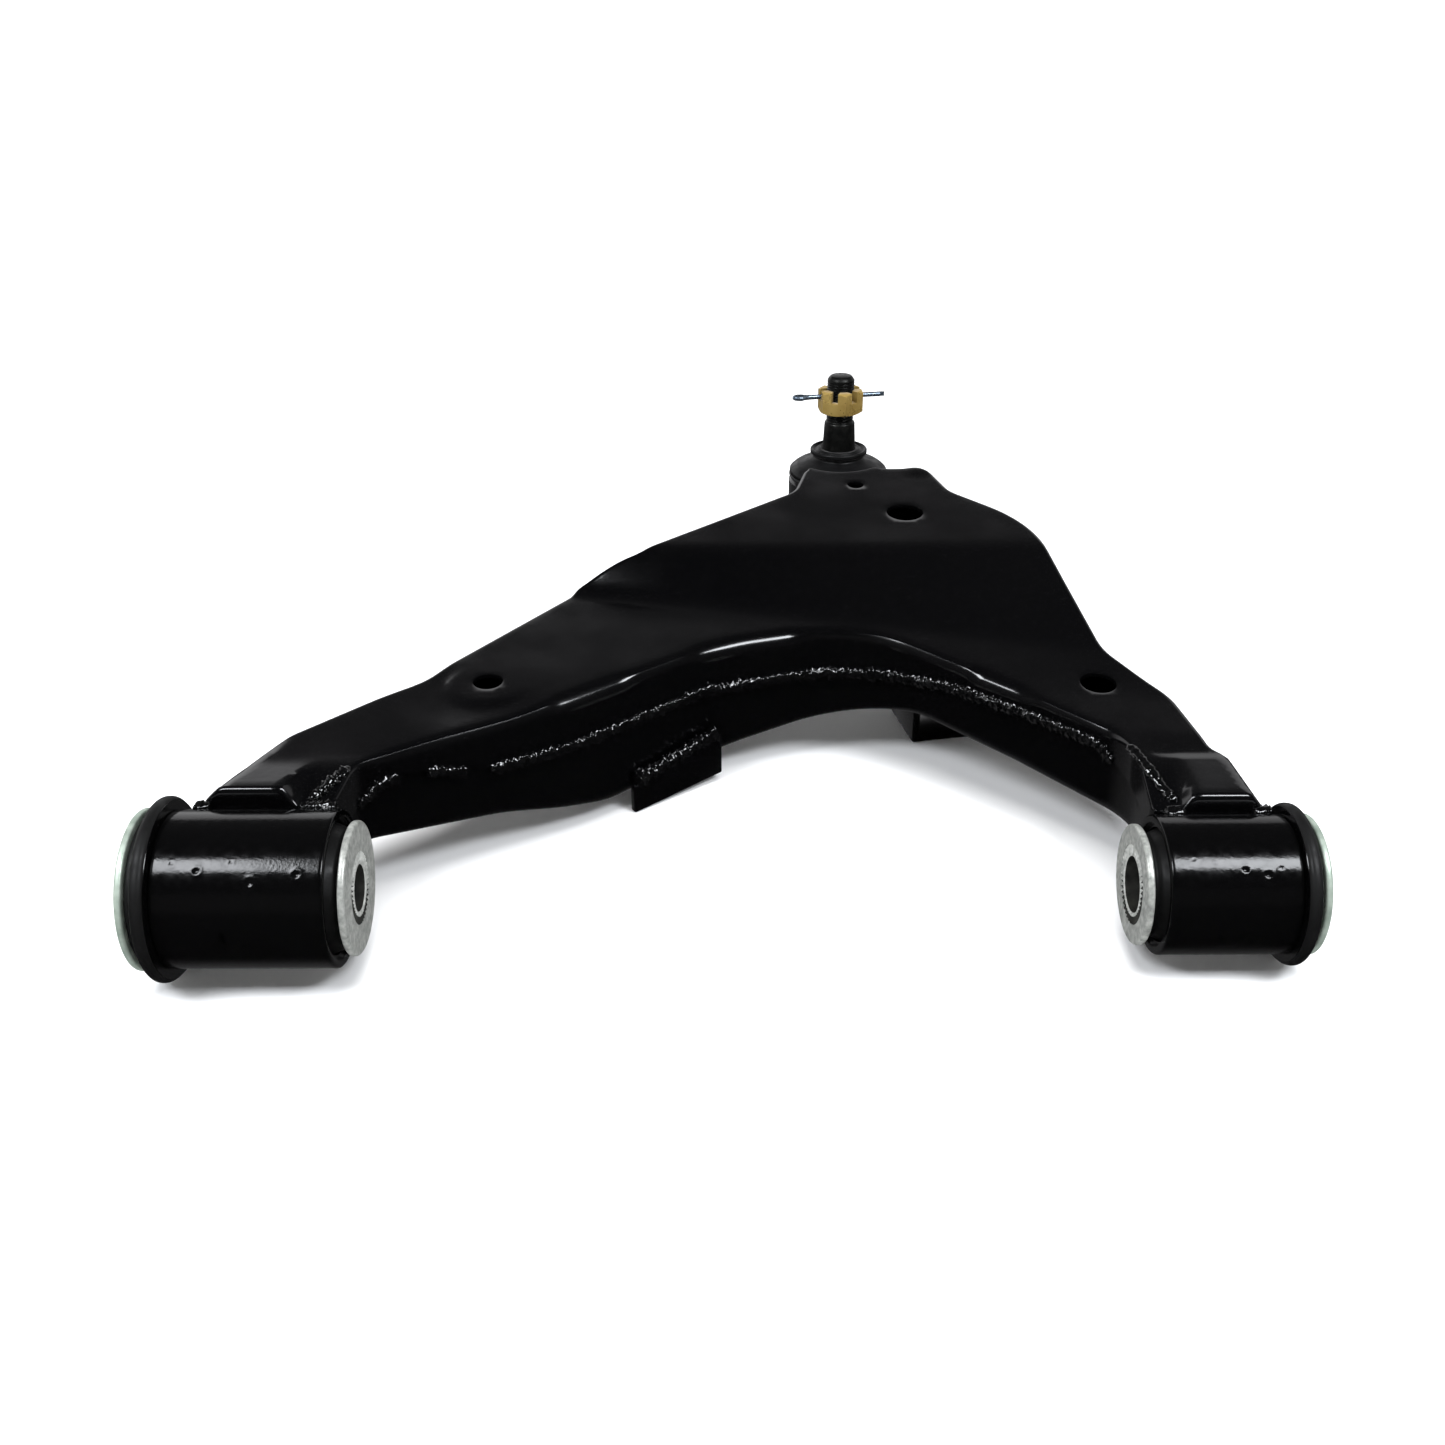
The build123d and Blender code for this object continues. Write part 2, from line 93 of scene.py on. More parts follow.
def grid_faces(rows, columns, wrap_rows=False, flip=False):
    """Quads over rings of points that are stored ring by ring."""
    faces = []
    for i in range(rows if wrap_rows else rows - 1):
        for j in range(columns):
            a = i * columns + j
            b = i * columns + (j + 1) % columns
            c = (i + 1) % rows * columns + (j + 1) % columns
            d = (i + 1) % rows * columns + j
            faces.append((d, c, b, a) if flip else (a, b, c, d))
    return faces


def rounded_path(corners, step):
    """Points round a closed path of straight runs and arcs, from ((x, y), radius) corners."""
    count = len(corners)
    places = [np.array(point, float) for point, radius in corners]
    path = []
    for i, (point, radius) in enumerate(corners):
        here = places[i]
        if radius <= 0:
            path.append([here])
            continue
        inward = here - places[i - 1]
        outward = places[(i + 1) % count] - here
        inward /= np.linalg.norm(inward)
        outward /= np.linalg.norm(outward)
        turn = math.atan2(inward[0] * outward[1] - inward[1] * outward[0], inward @ outward)
        reach = radius * math.tan(abs(turn) / 2)
        side = np.array([-inward[1], inward[0]]) * math.copysign(1, turn)
        centre = here - inward * reach + side * radius
        steps = max(2, math.ceil(abs(turn) * radius / step))
        arc = []
        for k in range(steps + 1):
            angle = turn * k / steps
            arm = -side * radius
            cosine, sine = math.cos(angle), math.sin(angle)
            arc.append(centre + np.array([arm[0] * cosine - arm[1] * sine, arm[0] * sine + arm[1] * cosine]))
        path.append(arc)
    points = []
    for i, arc in enumerate(path):
        points.extend(arc)
        start, end = arc[-1], path[(i + 1) % count][0]
        runs = max(1, math.ceil(np.linalg.norm(end - start) / step))
        points.extend(start + (end - start) * k / runs for k in range(1, runs))
    return np.array(points)


def lathe(profile, axis, place, segments=96):
    """Points and faces of a closed (along, radius) profile turned about the X or Z axis."""
    angles = np.arange(segments) * 2 * math.pi / segments
    profile = np.asarray(profile, float)
    along = np.repeat(profile[:, 0], segments)
    radius = np.repeat(profile[:, 1], segments)
    turn = np.tile(angles, len(profile))
    if axis == "X":
        points = np.c_[along, radius * np.cos(turn), radius * np.sin(turn)]
    else:
        points = np.c_[radius * np.cos(turn), radius * np.sin(turn), along]
    return points + np.array(place, float), grid_faces(len(profile), segments, wrap_rows=True, flip=True)


def turned(name, corners, axis, place, material, body, replaced, step=1.0, segments=96):
    """A turned piece from a closed profile of ((along, radius), corner radius)."""
    profile = rounded_path(corners, step)
    area = np.sum(profile[:, 0] * np.roll(profile[:, 1], -1) - np.roll(profile[:, 0], -1) * profile[:, 1])
    if area < 0:
        profile = profile[::-1]
    if axis == "X":
        profile = profile[::-1]
    points, faces = lathe(profile, axis, place, segments)
    return add_piece(name, points, faces, material, body, replaced)


# Materials


def new_material(name, color, roughness, metallic=0.0):
    material = bpy.data.materials.new(name)
    material.use_nodes = True
    shader = material.node_tree.nodes["Principled BSDF"]
    shader.inputs["Base Color"].default_value = (*color, 1)
    shader.inputs["Roughness"].default_value = roughness
    shader.inputs["Metallic"].default_value = metallic
    return material, shader


def add_noise(material, scale, detail):
    """A noise texture on the object's own coordinates."""
    tree = material.node_tree
    place = tree.nodes.new("ShaderNodeTexCoord")
    texture = tree.nodes.new("ShaderNodeTexNoise")
    texture.inputs["Scale"].default_value = scale
    texture.inputs["Detail"].default_value = detail
    tree.links.new(place.outputs["Object"], texture.inputs["Vector"])
    return texture.outputs["Fac"]


def spread(tree, source, low, high, start=0.35, end=0.65):
    """A number that goes from low to high as the source goes from start to end."""
    ramp = tree.nodes.new("ShaderNodeMapRange")
    ramp.inputs["From Min"].default_value = start
    ramp.inputs["From Max"].default_value = end
    ramp.inputs["To Min"].default_value = low
    ramp.inputs["To Max"].default_value = high
    tree.links.new(source, ramp.inputs["Value"])
    return ramp.outputs["Result"]


def tint(material, shader, source, low, high, start=0.35, end=0.65):
    """A base colour that follows a texture between two colours."""
    tree = material.node_tree
    mix = tree.nodes.new("ShaderNodeMix")
    mix.data_type = "RGBA"
    mix.inputs["A"].default_value = (*low, 1)
    mix.inputs["B"].default_value = (*high, 1)
    tree.links.new(spread(tree, source, 0, 1, start, end), mix.inputs["Factor"])
    tree.links.new(mix.outputs["Result"], shader.inputs["Base Color"])


def roughen(material, shader, source, low, high):
    """A roughness that follows a texture from low to high."""
    tree = material.node_tree
    tree.links.new(spread(tree, source, low, high), shader.inputs["Roughness"])


def bump(material, shader, layers):
    """Bump layers of (texture output, strength, depth in millimetres), the first the deepest."""
    tree = material.node_tree
    normal = None
    for source, strength, depth in layers:
        node = tree.nodes.new("ShaderNodeBump")
        node.inputs["Strength"].default_value = strength
        node.inputs["Distance"].default_value = depth * MM
        tree.links.new(source, node.inputs["Height"])
        if normal is not None:
            tree.links.new(normal, node.inputs["Normal"])
        normal = node.outputs["Normal"]
    tree.links.new(normal, shader.inputs["Normal"])


def black_paint():
    """Satin black dip paint over pressed steel: orange peel, slow waves, dull patches and dust."""
    clean, dusty = (0.001, 0.001, 0.0012), (0.006, 0.006, 0.0062)
    material, shader = new_material("black_paint", (0.0012, 0.0012, 0.0013), 0.2)
    tint(material, shader, add_noise(material, 900, 2), clean, dusty, 0.62, 0.8)
    roughen(material, shader, add_noise(material, 28, 5), 0.12, 0.19)
    bump(material, shader, [
        (add_noise(material, 22, 2), 0.2, 0.9),
        (add_noise(material, 320, 2), 0.12, 0.1),
    ])
    return material


def gloss_paint():
    """Glossy black paint on the drawn tubes: fewer waves, fine pits and dust grains."""
    material, shader = new_material("gloss_paint", (0.0012, 0.0012, 0.0013), 0.16)
    shader.inputs["Specular IOR Level"].default_value = 0.27
    roughen(material, shader, add_noise(material, 300, 3), 0.1, 0.18)
    bump(material, shader, [
        (add_noise(material, 45, 2), 0.2, 0.3),
        (add_noise(material, 900, 2), 0.35, 0.1),
    ])
    return material


def weld_paint():
    """Glossy black paint over a rough weld bead."""
    material, shader = new_material("weld_paint", (0.0015, 0.0015, 0.0016), 0.1)
    shader.inputs["Specular IOR Level"].default_value = 0.7
    roughen(material, shader, add_noise(material, 300, 3), 0.05, 0.14)
    bump(material, shader, [
        (add_noise(material, 260, 1), 0.7, 0.9),
        (add_noise(material, 900, 2), 0.25, 0.12),
    ])
    return material


def rubber(name="bush_rubber", color=(0.004, 0.004, 0.004), roughness=0.5):
    material, shader = new_material(name, color, roughness)
    shader.inputs["Specular IOR Level"].default_value = 0.22
    roughen(material, shader, add_noise(material, 180, 4), roughness - 0.1, roughness + 0.12)
    bump(material, shader, [(add_noise(material, 1300, 3), 0.25, 0.08)])
    return material


def plated(name, dark, light, roughness, scale=160.0, metallic=0.9):
    """Zinc plate: mottled between two tints, finely grained."""
    material, shader = new_material(name, dark, roughness, metallic)
    tint(material, shader, add_noise(material, scale, 6), dark, light, 0.3, 0.7)
    roughen(material, shader, add_noise(material, scale * 3, 3), roughness - 0.08, roughness + 0.1)
    bump(material, shader, [
        (add_noise(material, scale * 4, 3), 0.3, 0.08),
        (add_noise(material, scale * 16, 2), 0.3, 0.03),
    ])
    return material


PAINT = black_paint()
GLOSS = gloss_paint()
WELD = weld_paint()
RUBBER = rubber()
BOOT_RUBBER = rubber("boot_rubber", (0.004, 0.004, 0.0042), 0.4)
WASHER_ZINC = plated("washer_zinc", (0.24, 0.25, 0.235), (0.52, 0.53, 0.50), 0.36, 420, 0.5)
OUTER_ZINC = plated("outer_zinc", (0.26, 0.32, 0.27), (0.48, 0.55, 0.48), 0.4, 160, 0.5)
CORE_ZINC = plated("core_zinc", (0.30, 0.31, 0.29), (0.62, 0.63, 0.60), 0.36, 400, 0.4)
# Near-black painted shade for the core's bore and the grooves between its serrations, where shade falls.
BORE_SHADE_PAINT = plated("painted_bore_shade", (0.008, 0.008, 0.007), (0.03, 0.03, 0.025), 0.6, 200, 0.3)
NUT_ZINC = plated("nut_zinc", (0.33, 0.21, 0.05), (0.62, 0.44, 0.14), 0.32, 60, 0.6)
PIN_ZINC = plated("pin_zinc", (0.16, 0.21, 0.28), (0.34, 0.42, 0.50), 0.3, 300)
STUD_STEEL = plated("stud_steel", (0.012, 0.012, 0.012), (0.03, 0.03, 0.028), 0.36, 240)
FORGED = black_paint().copy()
SPRING = plated("spring_steel", (0.03, 0.03, 0.032), (0.06, 0.06, 0.062), 0.35)
POLYMER = rubber("seat_polymer", (0.62, 0.61, 0.57), 0.45)


# Pressed shells

SHEET, LAP_GAP = 3.5, 0.15  # sheet thickness and the gap between the lapped walls
STEP = 2.6  # spacing of points along the outline
GRID = 3.4  # spacing of points inside it
OUTLINE = [
    ((33, 20), 3), ((40.5, 42.5), 14), ((125.5, 94), 130), ((197, 149.5), 110), ((268, 170), 60),
    ((338.5, 109.5), 70), ((383, 65), 30), ((382, 17), 3), ((432, 17), 3), ((430, 48), 6), ((418.5, 60), 10),
    ((412, 104.5), 40), ((388, 145), 40), ((367.5, 253.5), 80), ((330.5, 290.5), 20), ((321, 321), 12),
    ((249, 321), 8), ((241, 290.5), 20), ((156, 219.7), 25), ((123, 207.5), 10), ((56.5, 116), 100),
    ((3.5, 66), 20), ((-6, 52), 12), ((-24, 20), 3),
]
LEG_X = (120.0, 385.0)  # the top's section is the big leg's up to the first X, the small one's past the last
BIG_TOP = [(-20, 38), (20, 37.2), (47, 36), (118, 41), (207, 45), (219, 64.5), (320, 74), (420, 84)]
SMALL_TOP = [(-20, 33.8), (17, 33.4), (53, 33), (112, 36), (142, 41), (224, 64.5), (320, 74), (420, 84)]
BEND = [2, 2, 6, 12, 6, 5, 8, 8]  # half width of the bend at each station of the top
SEAM_AT = [
    (-80, 7), (33, 8), (41, 19), (50, 24.5), (64, 24), (76, 20), (93, 15), (132, 15), (166, 17), (188, 19),
    (205, 18), (237, 19), (270, 20), (298, 24), (312, 27), (374, 26.5), (381, 15), (500, 3),
]
FLOOR_AT = [
    (-80, -10), (40, -9), (95, -16), (142, -29), (199, -22), (250, -11), (300, 0), (342, -6), (500, -28),
]
RISER = (170.0, 236.0, 420.0)  # Y stations of the riser on the seam and the floor
SEAM_RISE, FLOOR_RISE = (47.0, 56.0), (20.0, 28.0)  # heights at the last two of those stations
OUTER_FLANKS = [
    ((-14.5, 20, 37), (1, 57, 37), (-22, 20, 29.5)),
    ((424, 17, 33), (422.5, 46, 33), (431, 17, 24)),
]
INNER_FLANKS = [
    (((13, 20, 37), (22, 44, 37), (18, 20, 27)), ((20, 22, 28.5), (38, 22, 28.5), (38, 44, 38))),
    (((398, 17, 33), (399, 45, 33), (394, 17, 25)), ((392, 17, 25.5), (380, 17, 25.5), (380, 50, 34))),
]
TOP_HOLES = [(277, 297.5, 9.0), (301.5, 262, 20.0), (379.5, 115, 17.0), (88.5, 112, 14.0)]
FLOOR_HOLES = [(301.5, 262, 24.0), (250, 205, 26.0)]
HOLE_LIP = ((0.15, 0.15), (0.0, 0.6), (0.0, 2.2))  # reach and drop of the rings of a hole's rounded edge
LIP_WIDTH = 0.7
CREASE_X, CREASE_Y, CREASE_DEPTH = (385, 396), (50.5, 53.5, 54.5, 72.0), 0.7  # dip behind the small tongue
BOSS_AT, BOSS_R, BOSS_STEP = (88.5, 112.0), 21.0, 1.7
HOLLOW_WIDTH, HOLLOW_TOWARD = 34, (-0.55, -0.84)  # the boss's step is deepest on this side, and fades out
CORNER_AT, CORNER_R, CORNER_RISE = (314.0, 316.0), 10.0, 1.1  # bump pressed up in the far corner
LEG_SPLIT = 205  # X between the two legs
BALL = (270.5, 345.0)  # the ball joint's upright axis
NOTCH_R = 30.0  # notch for its socket in the far end
TUBES = [  # X of the centre, outer radius, ends from the centre
    (0.0, 33.5, -31.0, 39.0),
    (410.0, 29.5, -29.5, 24.5),
]


def soft_step(value, low, high):
    """0 up to low, 1 from high, with a smooth climb between them."""
    share = np.clip((value - low) / (high - low), 0, 1)
    return share * share * (3 - 2 * share)


def soft_corner(distance, width):
    """0 before a corner, the distance after it, a parabola within width of it."""
    near = (distance + width) ** 2 / (4 * width)
    return np.where(distance < -width, 0, np.where(distance > width, distance, near))


def soft_min(a, b, width):
    share = np.clip(0.5 + 0.5 * (b - a) / width, 0, 1)
    return b + (a - b) * share - width * share * (1 - share)


def soft_max(a, b, width):
    return -soft_min(-a, -b, width)


def plane_height(corners, x, y):
    """Height at x, y of the plane through three points."""
    a, b, c = [np.array(corner, float) for corner in corners]
    normal = np.cross(b - a, c - a)
    return a[2] - (normal[0] * (x - a[0]) + normal[1] * (y - a[1])) / normal[2]


def top_height(x, y):
    """Height of the upper shell's top face."""
    share = np.clip((x - LEG_X[0]) / (LEG_X[1] - LEG_X[0]), 0, 1)
    stations = [[b + (s - b) * share for b, s in zip(*pair)] for pair in zip(BIG_TOP, SMALL_TOP)]
    z = stations[0][1]
    for k in range(len(stations) - 1):
        (y0, z0), (y1, z1) = stations[k], stations[k + 1]
        z = z + (z1 - z0) / (y1 - y0) * (soft_corner(y - y0, BEND[k]) - soft_corner(y - y1, BEND[k + 1]))
    for k, (outer, (inner, shelf)) in enumerate(zip(OUTER_FLANKS, INNER_FLANKS)):
        own_leg = (x > LEG_SPLIT) == (k == 1)
        cut = soft_min(z, plane_height(outer, x, y), 2.0)
        cut = soft_min(cut, soft_max(plane_height(inner, x, y), plane_height(shelf, x, y), 4.0), 2.5)
        z = np.where(own_leg, cut, z)
    crease = soft_step(y, *CREASE_Y[:2]) * (1 - soft_step(y, *CREASE_Y[2:])) * soft_step(x, *CREASE_X)
    z = z - CREASE_DEPTH * crease
    dx, dy = x - BOSS_AT[0], y - BOSS_AT[1]
    away = np.hypot(dx, dy)
    toward = soft_step(HOLLOW_TOWARD[0] * dx + HOLLOW_TOWARD[1] * dy, -0.35 * BOSS_R, 0.75 * BOSS_R)
    rim = 1 - soft_step(-away, -BOSS_R - 0.6, -BOSS_R + 3.4)
    hollow = soft_step(-away, -BOSS_R - HOLLOW_WIDTH, -BOSS_R) * rim
    z = z - BOSS_STEP * hollow * toward
    bump = soft_step(-np.hypot(x - CORNER_AT[0], y - CORNER_AT[1]), -CORNER_R, 0.0)
    return z + CORNER_RISE * bump


SMOOTHING = (-5, -2, 0, 2, 5)  # shifts along X that soften the stations' corners


def rising(stations, rise, x, y):
    """Height that follows stations along X, and climbs over the riser along Y."""
    xs, zs = zip(*stations)
    low = sum(np.interp(x + shift, xs, zs) for shift in SMOOTHING) / len(SMOOTHING)
    climb = np.interp(y, RISER, (0, 1, 1))
    far = np.interp(y, RISER, (rise[0], rise[0], rise[1]))
    climb = climb * climb * (3 - 2 * climb)
    return low + (far - low) * climb


def seam_height(x, y):
    return rising(SEAM_AT, SEAM_RISE, x, y)


def floor_height(x, y):
    return rising(FLOOR_AT, FLOOR_RISE, x, y)


def over_tubes(x, y, z, gap=0.1):
    """z, raised where it would be inside a bushing tube."""
    for centre, radius, low, high in TUBES:
        inside = (np.abs(y) < radius) & (x > centre + low - 2) & (x < centre + high + 2)
        surface = np.sqrt(np.maximum(0, radius**2 - y**2)) + gap
        z = np.where(inside, np.maximum(z, surface), z)
    return z


def outline_path(foot_corner=3):
    """The arm's outline with a notch for the ball joint's socket. The tongues' feet get rounder corners."""
    corners = [(point, foot_corner if radius == 3 else radius) for point, radius in OUTLINE]
    path = rounded_path(corners, STEP)
    away = path - np.array(BALL)
    distance = np.linalg.norm(away, axis=1)
    near = distance < NOTCH_R
    path[near] = np.array(BALL) + away[near] * (NOTCH_R / distance[near])[:, None]
    return path


def inward_normals(path):
    along = np.roll(path, -1, axis=0) - np.roll(path, 1, axis=0)
    along /= np.linalg.norm(along, axis=1)[:, None]
    return np.c_[-along[:, 1], along[:, 0]]


def inside_polygon(points, polygon):
    x, y = points[:, 0][:, None], points[:, 1][:, None]
    x0, y0 = polygon[:, 0][None], polygon[:, 1][None]
    x1, y1 = np.roll(polygon[:, 0], -1)[None], np.roll(polygon[:, 1], -1)[None]
    crosses = (y0 > y) != (y1 > y)
    with np.errstate(divide="ignore", invalid="ignore"):
        at = x0 + (y - y0) * (x1 - x0) / (y1 - y0)
    return (np.sum(crosses & (x < at), axis=1) % 2) == 1


def distance_to(points, polygon):
    """Distance of each point to the nearest edge of a closed polygon."""
    start, end = polygon[None], np.roll(polygon, -1, axis=0)[None]
    run = end - start
    share = np.sum((points[:, None] - start) * run, axis=2) / np.maximum(1e-9, np.sum(run * run, axis=2))
    nearest = start + np.clip(share, 0, 1)[..., None] * run
    return np.min(np.linalg.norm(points[:, None] - nearest, axis=2), axis=1)


def fill_face(outer, holes, spacing):
    """Triangles between an outer ring and hole rings, with a grid of points between them."""
    low, high = outer.min(axis=0), outer.max(axis=0)
    xs = np.arange(low[0], high[0], spacing)
    ys = np.arange(low[1], high[1], spacing * 0.87)
    grid = np.array([(x + (spacing / 2 if j % 2 else 0), y) for j, y in enumerate(ys) for x in xs])
    grid = grid[inside_polygon(grid, outer)]
    grid = grid[distance_to(grid, outer) > spacing * 0.55]
    for ring in holes:
        centre = ring.mean(axis=0)
        reach = np.linalg.norm(ring[0] - centre) + spacing * 0.5
        grid = grid[np.linalg.norm(grid - centre, axis=1) > reach]
    points, edges = [outer, *holes, grid], []
    start = 0
    for ring in (outer, *holes):
        edges += [(start + i, start + (i + 1) % len(ring)) for i in range(len(ring))]
        start += len(ring)
    flat = np.concatenate(points)
    made = delaunay_2d_cdt([Vector(p) for p in flat], edges, [], 0, 1e-6)
    found = np.array([tuple(p) for p in made[0]])
    crossings = [i for i, origin in enumerate(made[3]) if not origin]
    flat = np.concatenate([flat, found[crossings].reshape(-1, 2)])
    source = [origin[0] if origin else 0 for origin in made[3]]
    for k, i in enumerate(crossings):
        source[i] = len(flat) - len(crossings) + k
    faces = np.array(made[2])
    middle = found[faces].mean(axis=1)
    keep = inside_polygon(middle, outer)
    for ring in holes:
        keep &= ~inside_polygon(middle, ring)
    faces = [[source[i] for i in face] for face in faces[keep]]
    return flat, faces


KNEE = (30.0, 53.0)  # slopes between which a tightly pressed edge turns at once
EDGE_SLOPES = [90, 78, 66, KNEE[1], 46, 38, KNEE[0], 18, 8, 0]  # slopes of an edge's rings, wall to face
HOLE_SIDES = 48


def pressed_skin(path, cap, edge, radius, holes, sign, knee=0.0):
    """Skin of a pressed shell: a face at cap height, a rounded edge, and walls down to edge height.

    sign is 1 for a shell that opens downward, -1 for one that opens upward. Rings run from the walls'
    edge to the face, then round each hole. knee is 1 where the edge has a tight line along its middle.
    """
    normals = inward_normals(path)
    x, y = path[:, 0], path[:, 1]
    limit = sign * (cap(x, y) - edge(x, y))
    radius = np.minimum(radius, np.maximum(0.4, limit * 0.75))
    tight = knee * (radius - 0.12)
    low, high = math.radians(KNEE[0]), math.radians(KNEE[1])
    lost = math.cos(low) - math.cos(high)
    rings = []
    bottom = edge(x, y)
    top = cap(x, y) - sign * (radius - tight * lost)
    for k in range(WALL_RINGS):
        rings.append(np.c_[path, bottom + (top - bottom) * k / WALL_RINGS])
    for angle in np.radians(EDGE_SLOPES):
        held = min(max(angle, low), high)
        inset = radius * (1 - math.sin(angle)) - tight * (math.sin(high) - math.sin(held))
        drop = radius * (1 - math.cos(angle)) - tight * (math.cos(low) - math.cos(held))
        place = path + normals * inset[:, None]
        z = cap(place[:, 0], place[:, 1]) - sign * drop
        rings.append(np.c_[place, z])
    points = np.concatenate(rings)
    faces = grid_faces(len(rings), len(path), flip=sign < 0)
    turn = np.linspace(0, 2 * math.pi, HOLE_SIDES, endpoint=False)
    circle = np.c_[np.cos(turn), np.sin(turn)]
    hole_rings = [np.array([hx, hy]) + circle * (diameter / 2 + LIP_WIDTH) for hx, hy, diameter in holes]
    flat, inner = fill_face(rings[-1][:, :2], hole_rings, GRID)
    first = len(points) - len(path)
    heights = cap(flat[:, 0], flat[:, 1])
    face_points = np.c_[flat, heights]
    points = np.concatenate([points[:first], face_points])
    for face in inner:
        a, b, c = [face_points[i] for i in face]
        up = np.cross(b - a, c - a)[2] * sign > 0
        faces.append(tuple(first + i for i in (face if up else face[::-1])))
    for k, (hx, hy, diameter) in enumerate(holes):
        base = first + len(path) + k * HOLE_SIDES
        for reach, drop in HOLE_LIP:
            ring = np.array([hx, hy]) + circle * (diameter / 2 + reach)
            z = cap(ring[:, 0], ring[:, 1]) - sign * drop
            new = len(points)
            points = np.concatenate([points, np.c_[ring, z]])
            for i in range(HOLE_SIDES):
                j = (i + 1) % HOLE_SIDES
                quad = (base + i, base + j, new + j, new + i)
                faces.append(quad if sign > 0 else quad[::-1])
            base = new
    return points, faces


def solidify(piece, thickness):
    """Gives a skin its sheet thickness, inward, as real faces."""
    modifier = piece.modifiers.new("sheet", "SOLIDIFY")
    modifier.thickness = thickness * MM
    modifier.offset = -1
    modifier.use_even_offset = False
    smooth(apply_modifiers(piece))


def on_arch(x, y, low, high):
    """True on the edge between the legs, from X low to X high."""
    return (y < 176) & (x > low) & (x < high) & (y < 0.62 * x + 30) & (y < 190 - 0.45 * (x - 268))


SIDE_EDGE, ARCH_EDGE, TONGUE_EDGE, FAR_EDGE, NOTCH_EDGE = 3.2, 8.5, 2.5, 3.0, 1.0  # radii of the top's edge
TONGUE_Y, FAR_Y = 40, 312  # the tongues' edge lies before the first, the far end's past the second
EDGE_BLUR = 6  # points on each side over which one radius runs into the next


def edge_radius(path):
    """Radius of the top's edge: wide along the arch, small on the tongue ends and at the far end."""
    x, y = path[:, 0], path[:, 1]
    radius = np.full(len(path), SIDE_EDGE)
    radius[on_arch(x, y, 45, 378)] = ARCH_EDGE
    radius[y < TONGUE_Y] = TONGUE_EDGE
    radius[y > FAR_Y] = FAR_EDGE
    kernel = np.hanning(2 * EDGE_BLUR + 1)
    kernel /= kernel.sum()
    radius = np.convolve(np.r_[radius[-EDGE_BLUR:], radius, radius[:EDGE_BLUR]], kernel, mode="valid")
    near = np.linalg.norm(path - np.array(BALL), axis=1) < NOTCH_R + 3
    return np.where(near, NOTCH_EDGE, radius)


KNEE_AT = [  # how tight the arch's edge is along X
    (36, 0), (44, 1), (119, 1), (124, 0), (153, 0), (159, 0.8), (183, 0.8), (189, 0), (236, 0), (246, 1),
    (317, 1), (323, 0), (341, 0), (348, 1),
]


def edge_knee(path):
    """How tight the top's edge is at each point, from 0 to 1."""
    x, y = path[:, 0], path[:, 1]
    xs, shares = zip(*KNEE_AT)
    return np.interp(x, xs, shares) * on_arch(x, y, 36, 384)


WALL_RINGS = 8
LAP, FLOOR_EDGE = 8.0, 7.0  # how far the lower wall runs up inside the upper one, and the floor's edge radius


def upper_shell(path):
    points, faces = pressed_skin(
        path, top_height, lambda x, y: over_tubes(x, y, seam_height(x, y)), edge_radius(path), TOP_HOLES, 1,
        edge_knee(path))
    piece = add_piece("upper_shell_skin", points, faces, PAINT, "arm", ["upper_shell"])
    solidify(piece, SHEET)


def lower_shell(path):
    inset = path + inward_normals(path) * (SHEET + LAP_GAP)
    points, faces = pressed_skin(
        inset, floor_height, lambda x, y: seam_height(x, y) + LAP, np.full(len(inset), FLOOR_EDGE),
        FLOOR_HOLES, -1)
    for centre, radius, low, high in TUBES:
        inside = (points[:, 0] > centre + low - 4) & (points[:, 0] < centre + high + 6)
        surface = np.sqrt(np.maximum(0, radius**2 - points[:, 2] ** 2)) + 0.1
        points[:, 1] = np.where(inside, np.maximum(points[:, 1], surface), points[:, 1])
    piece = add_piece("lower_shell_skin", points, faces, PAINT, "arm", ["lower_shell"])
    solidify(piece, SHEET)


# Welds

BEAD_SIDES = 20
BEAD_STEP = 0.6  # spacing of points along a bead


def wobble(x, y, z):
    """Smooth noise, from about -1 to 1, without any random draw."""
    return noise.noise(Vector((x, y, z)))


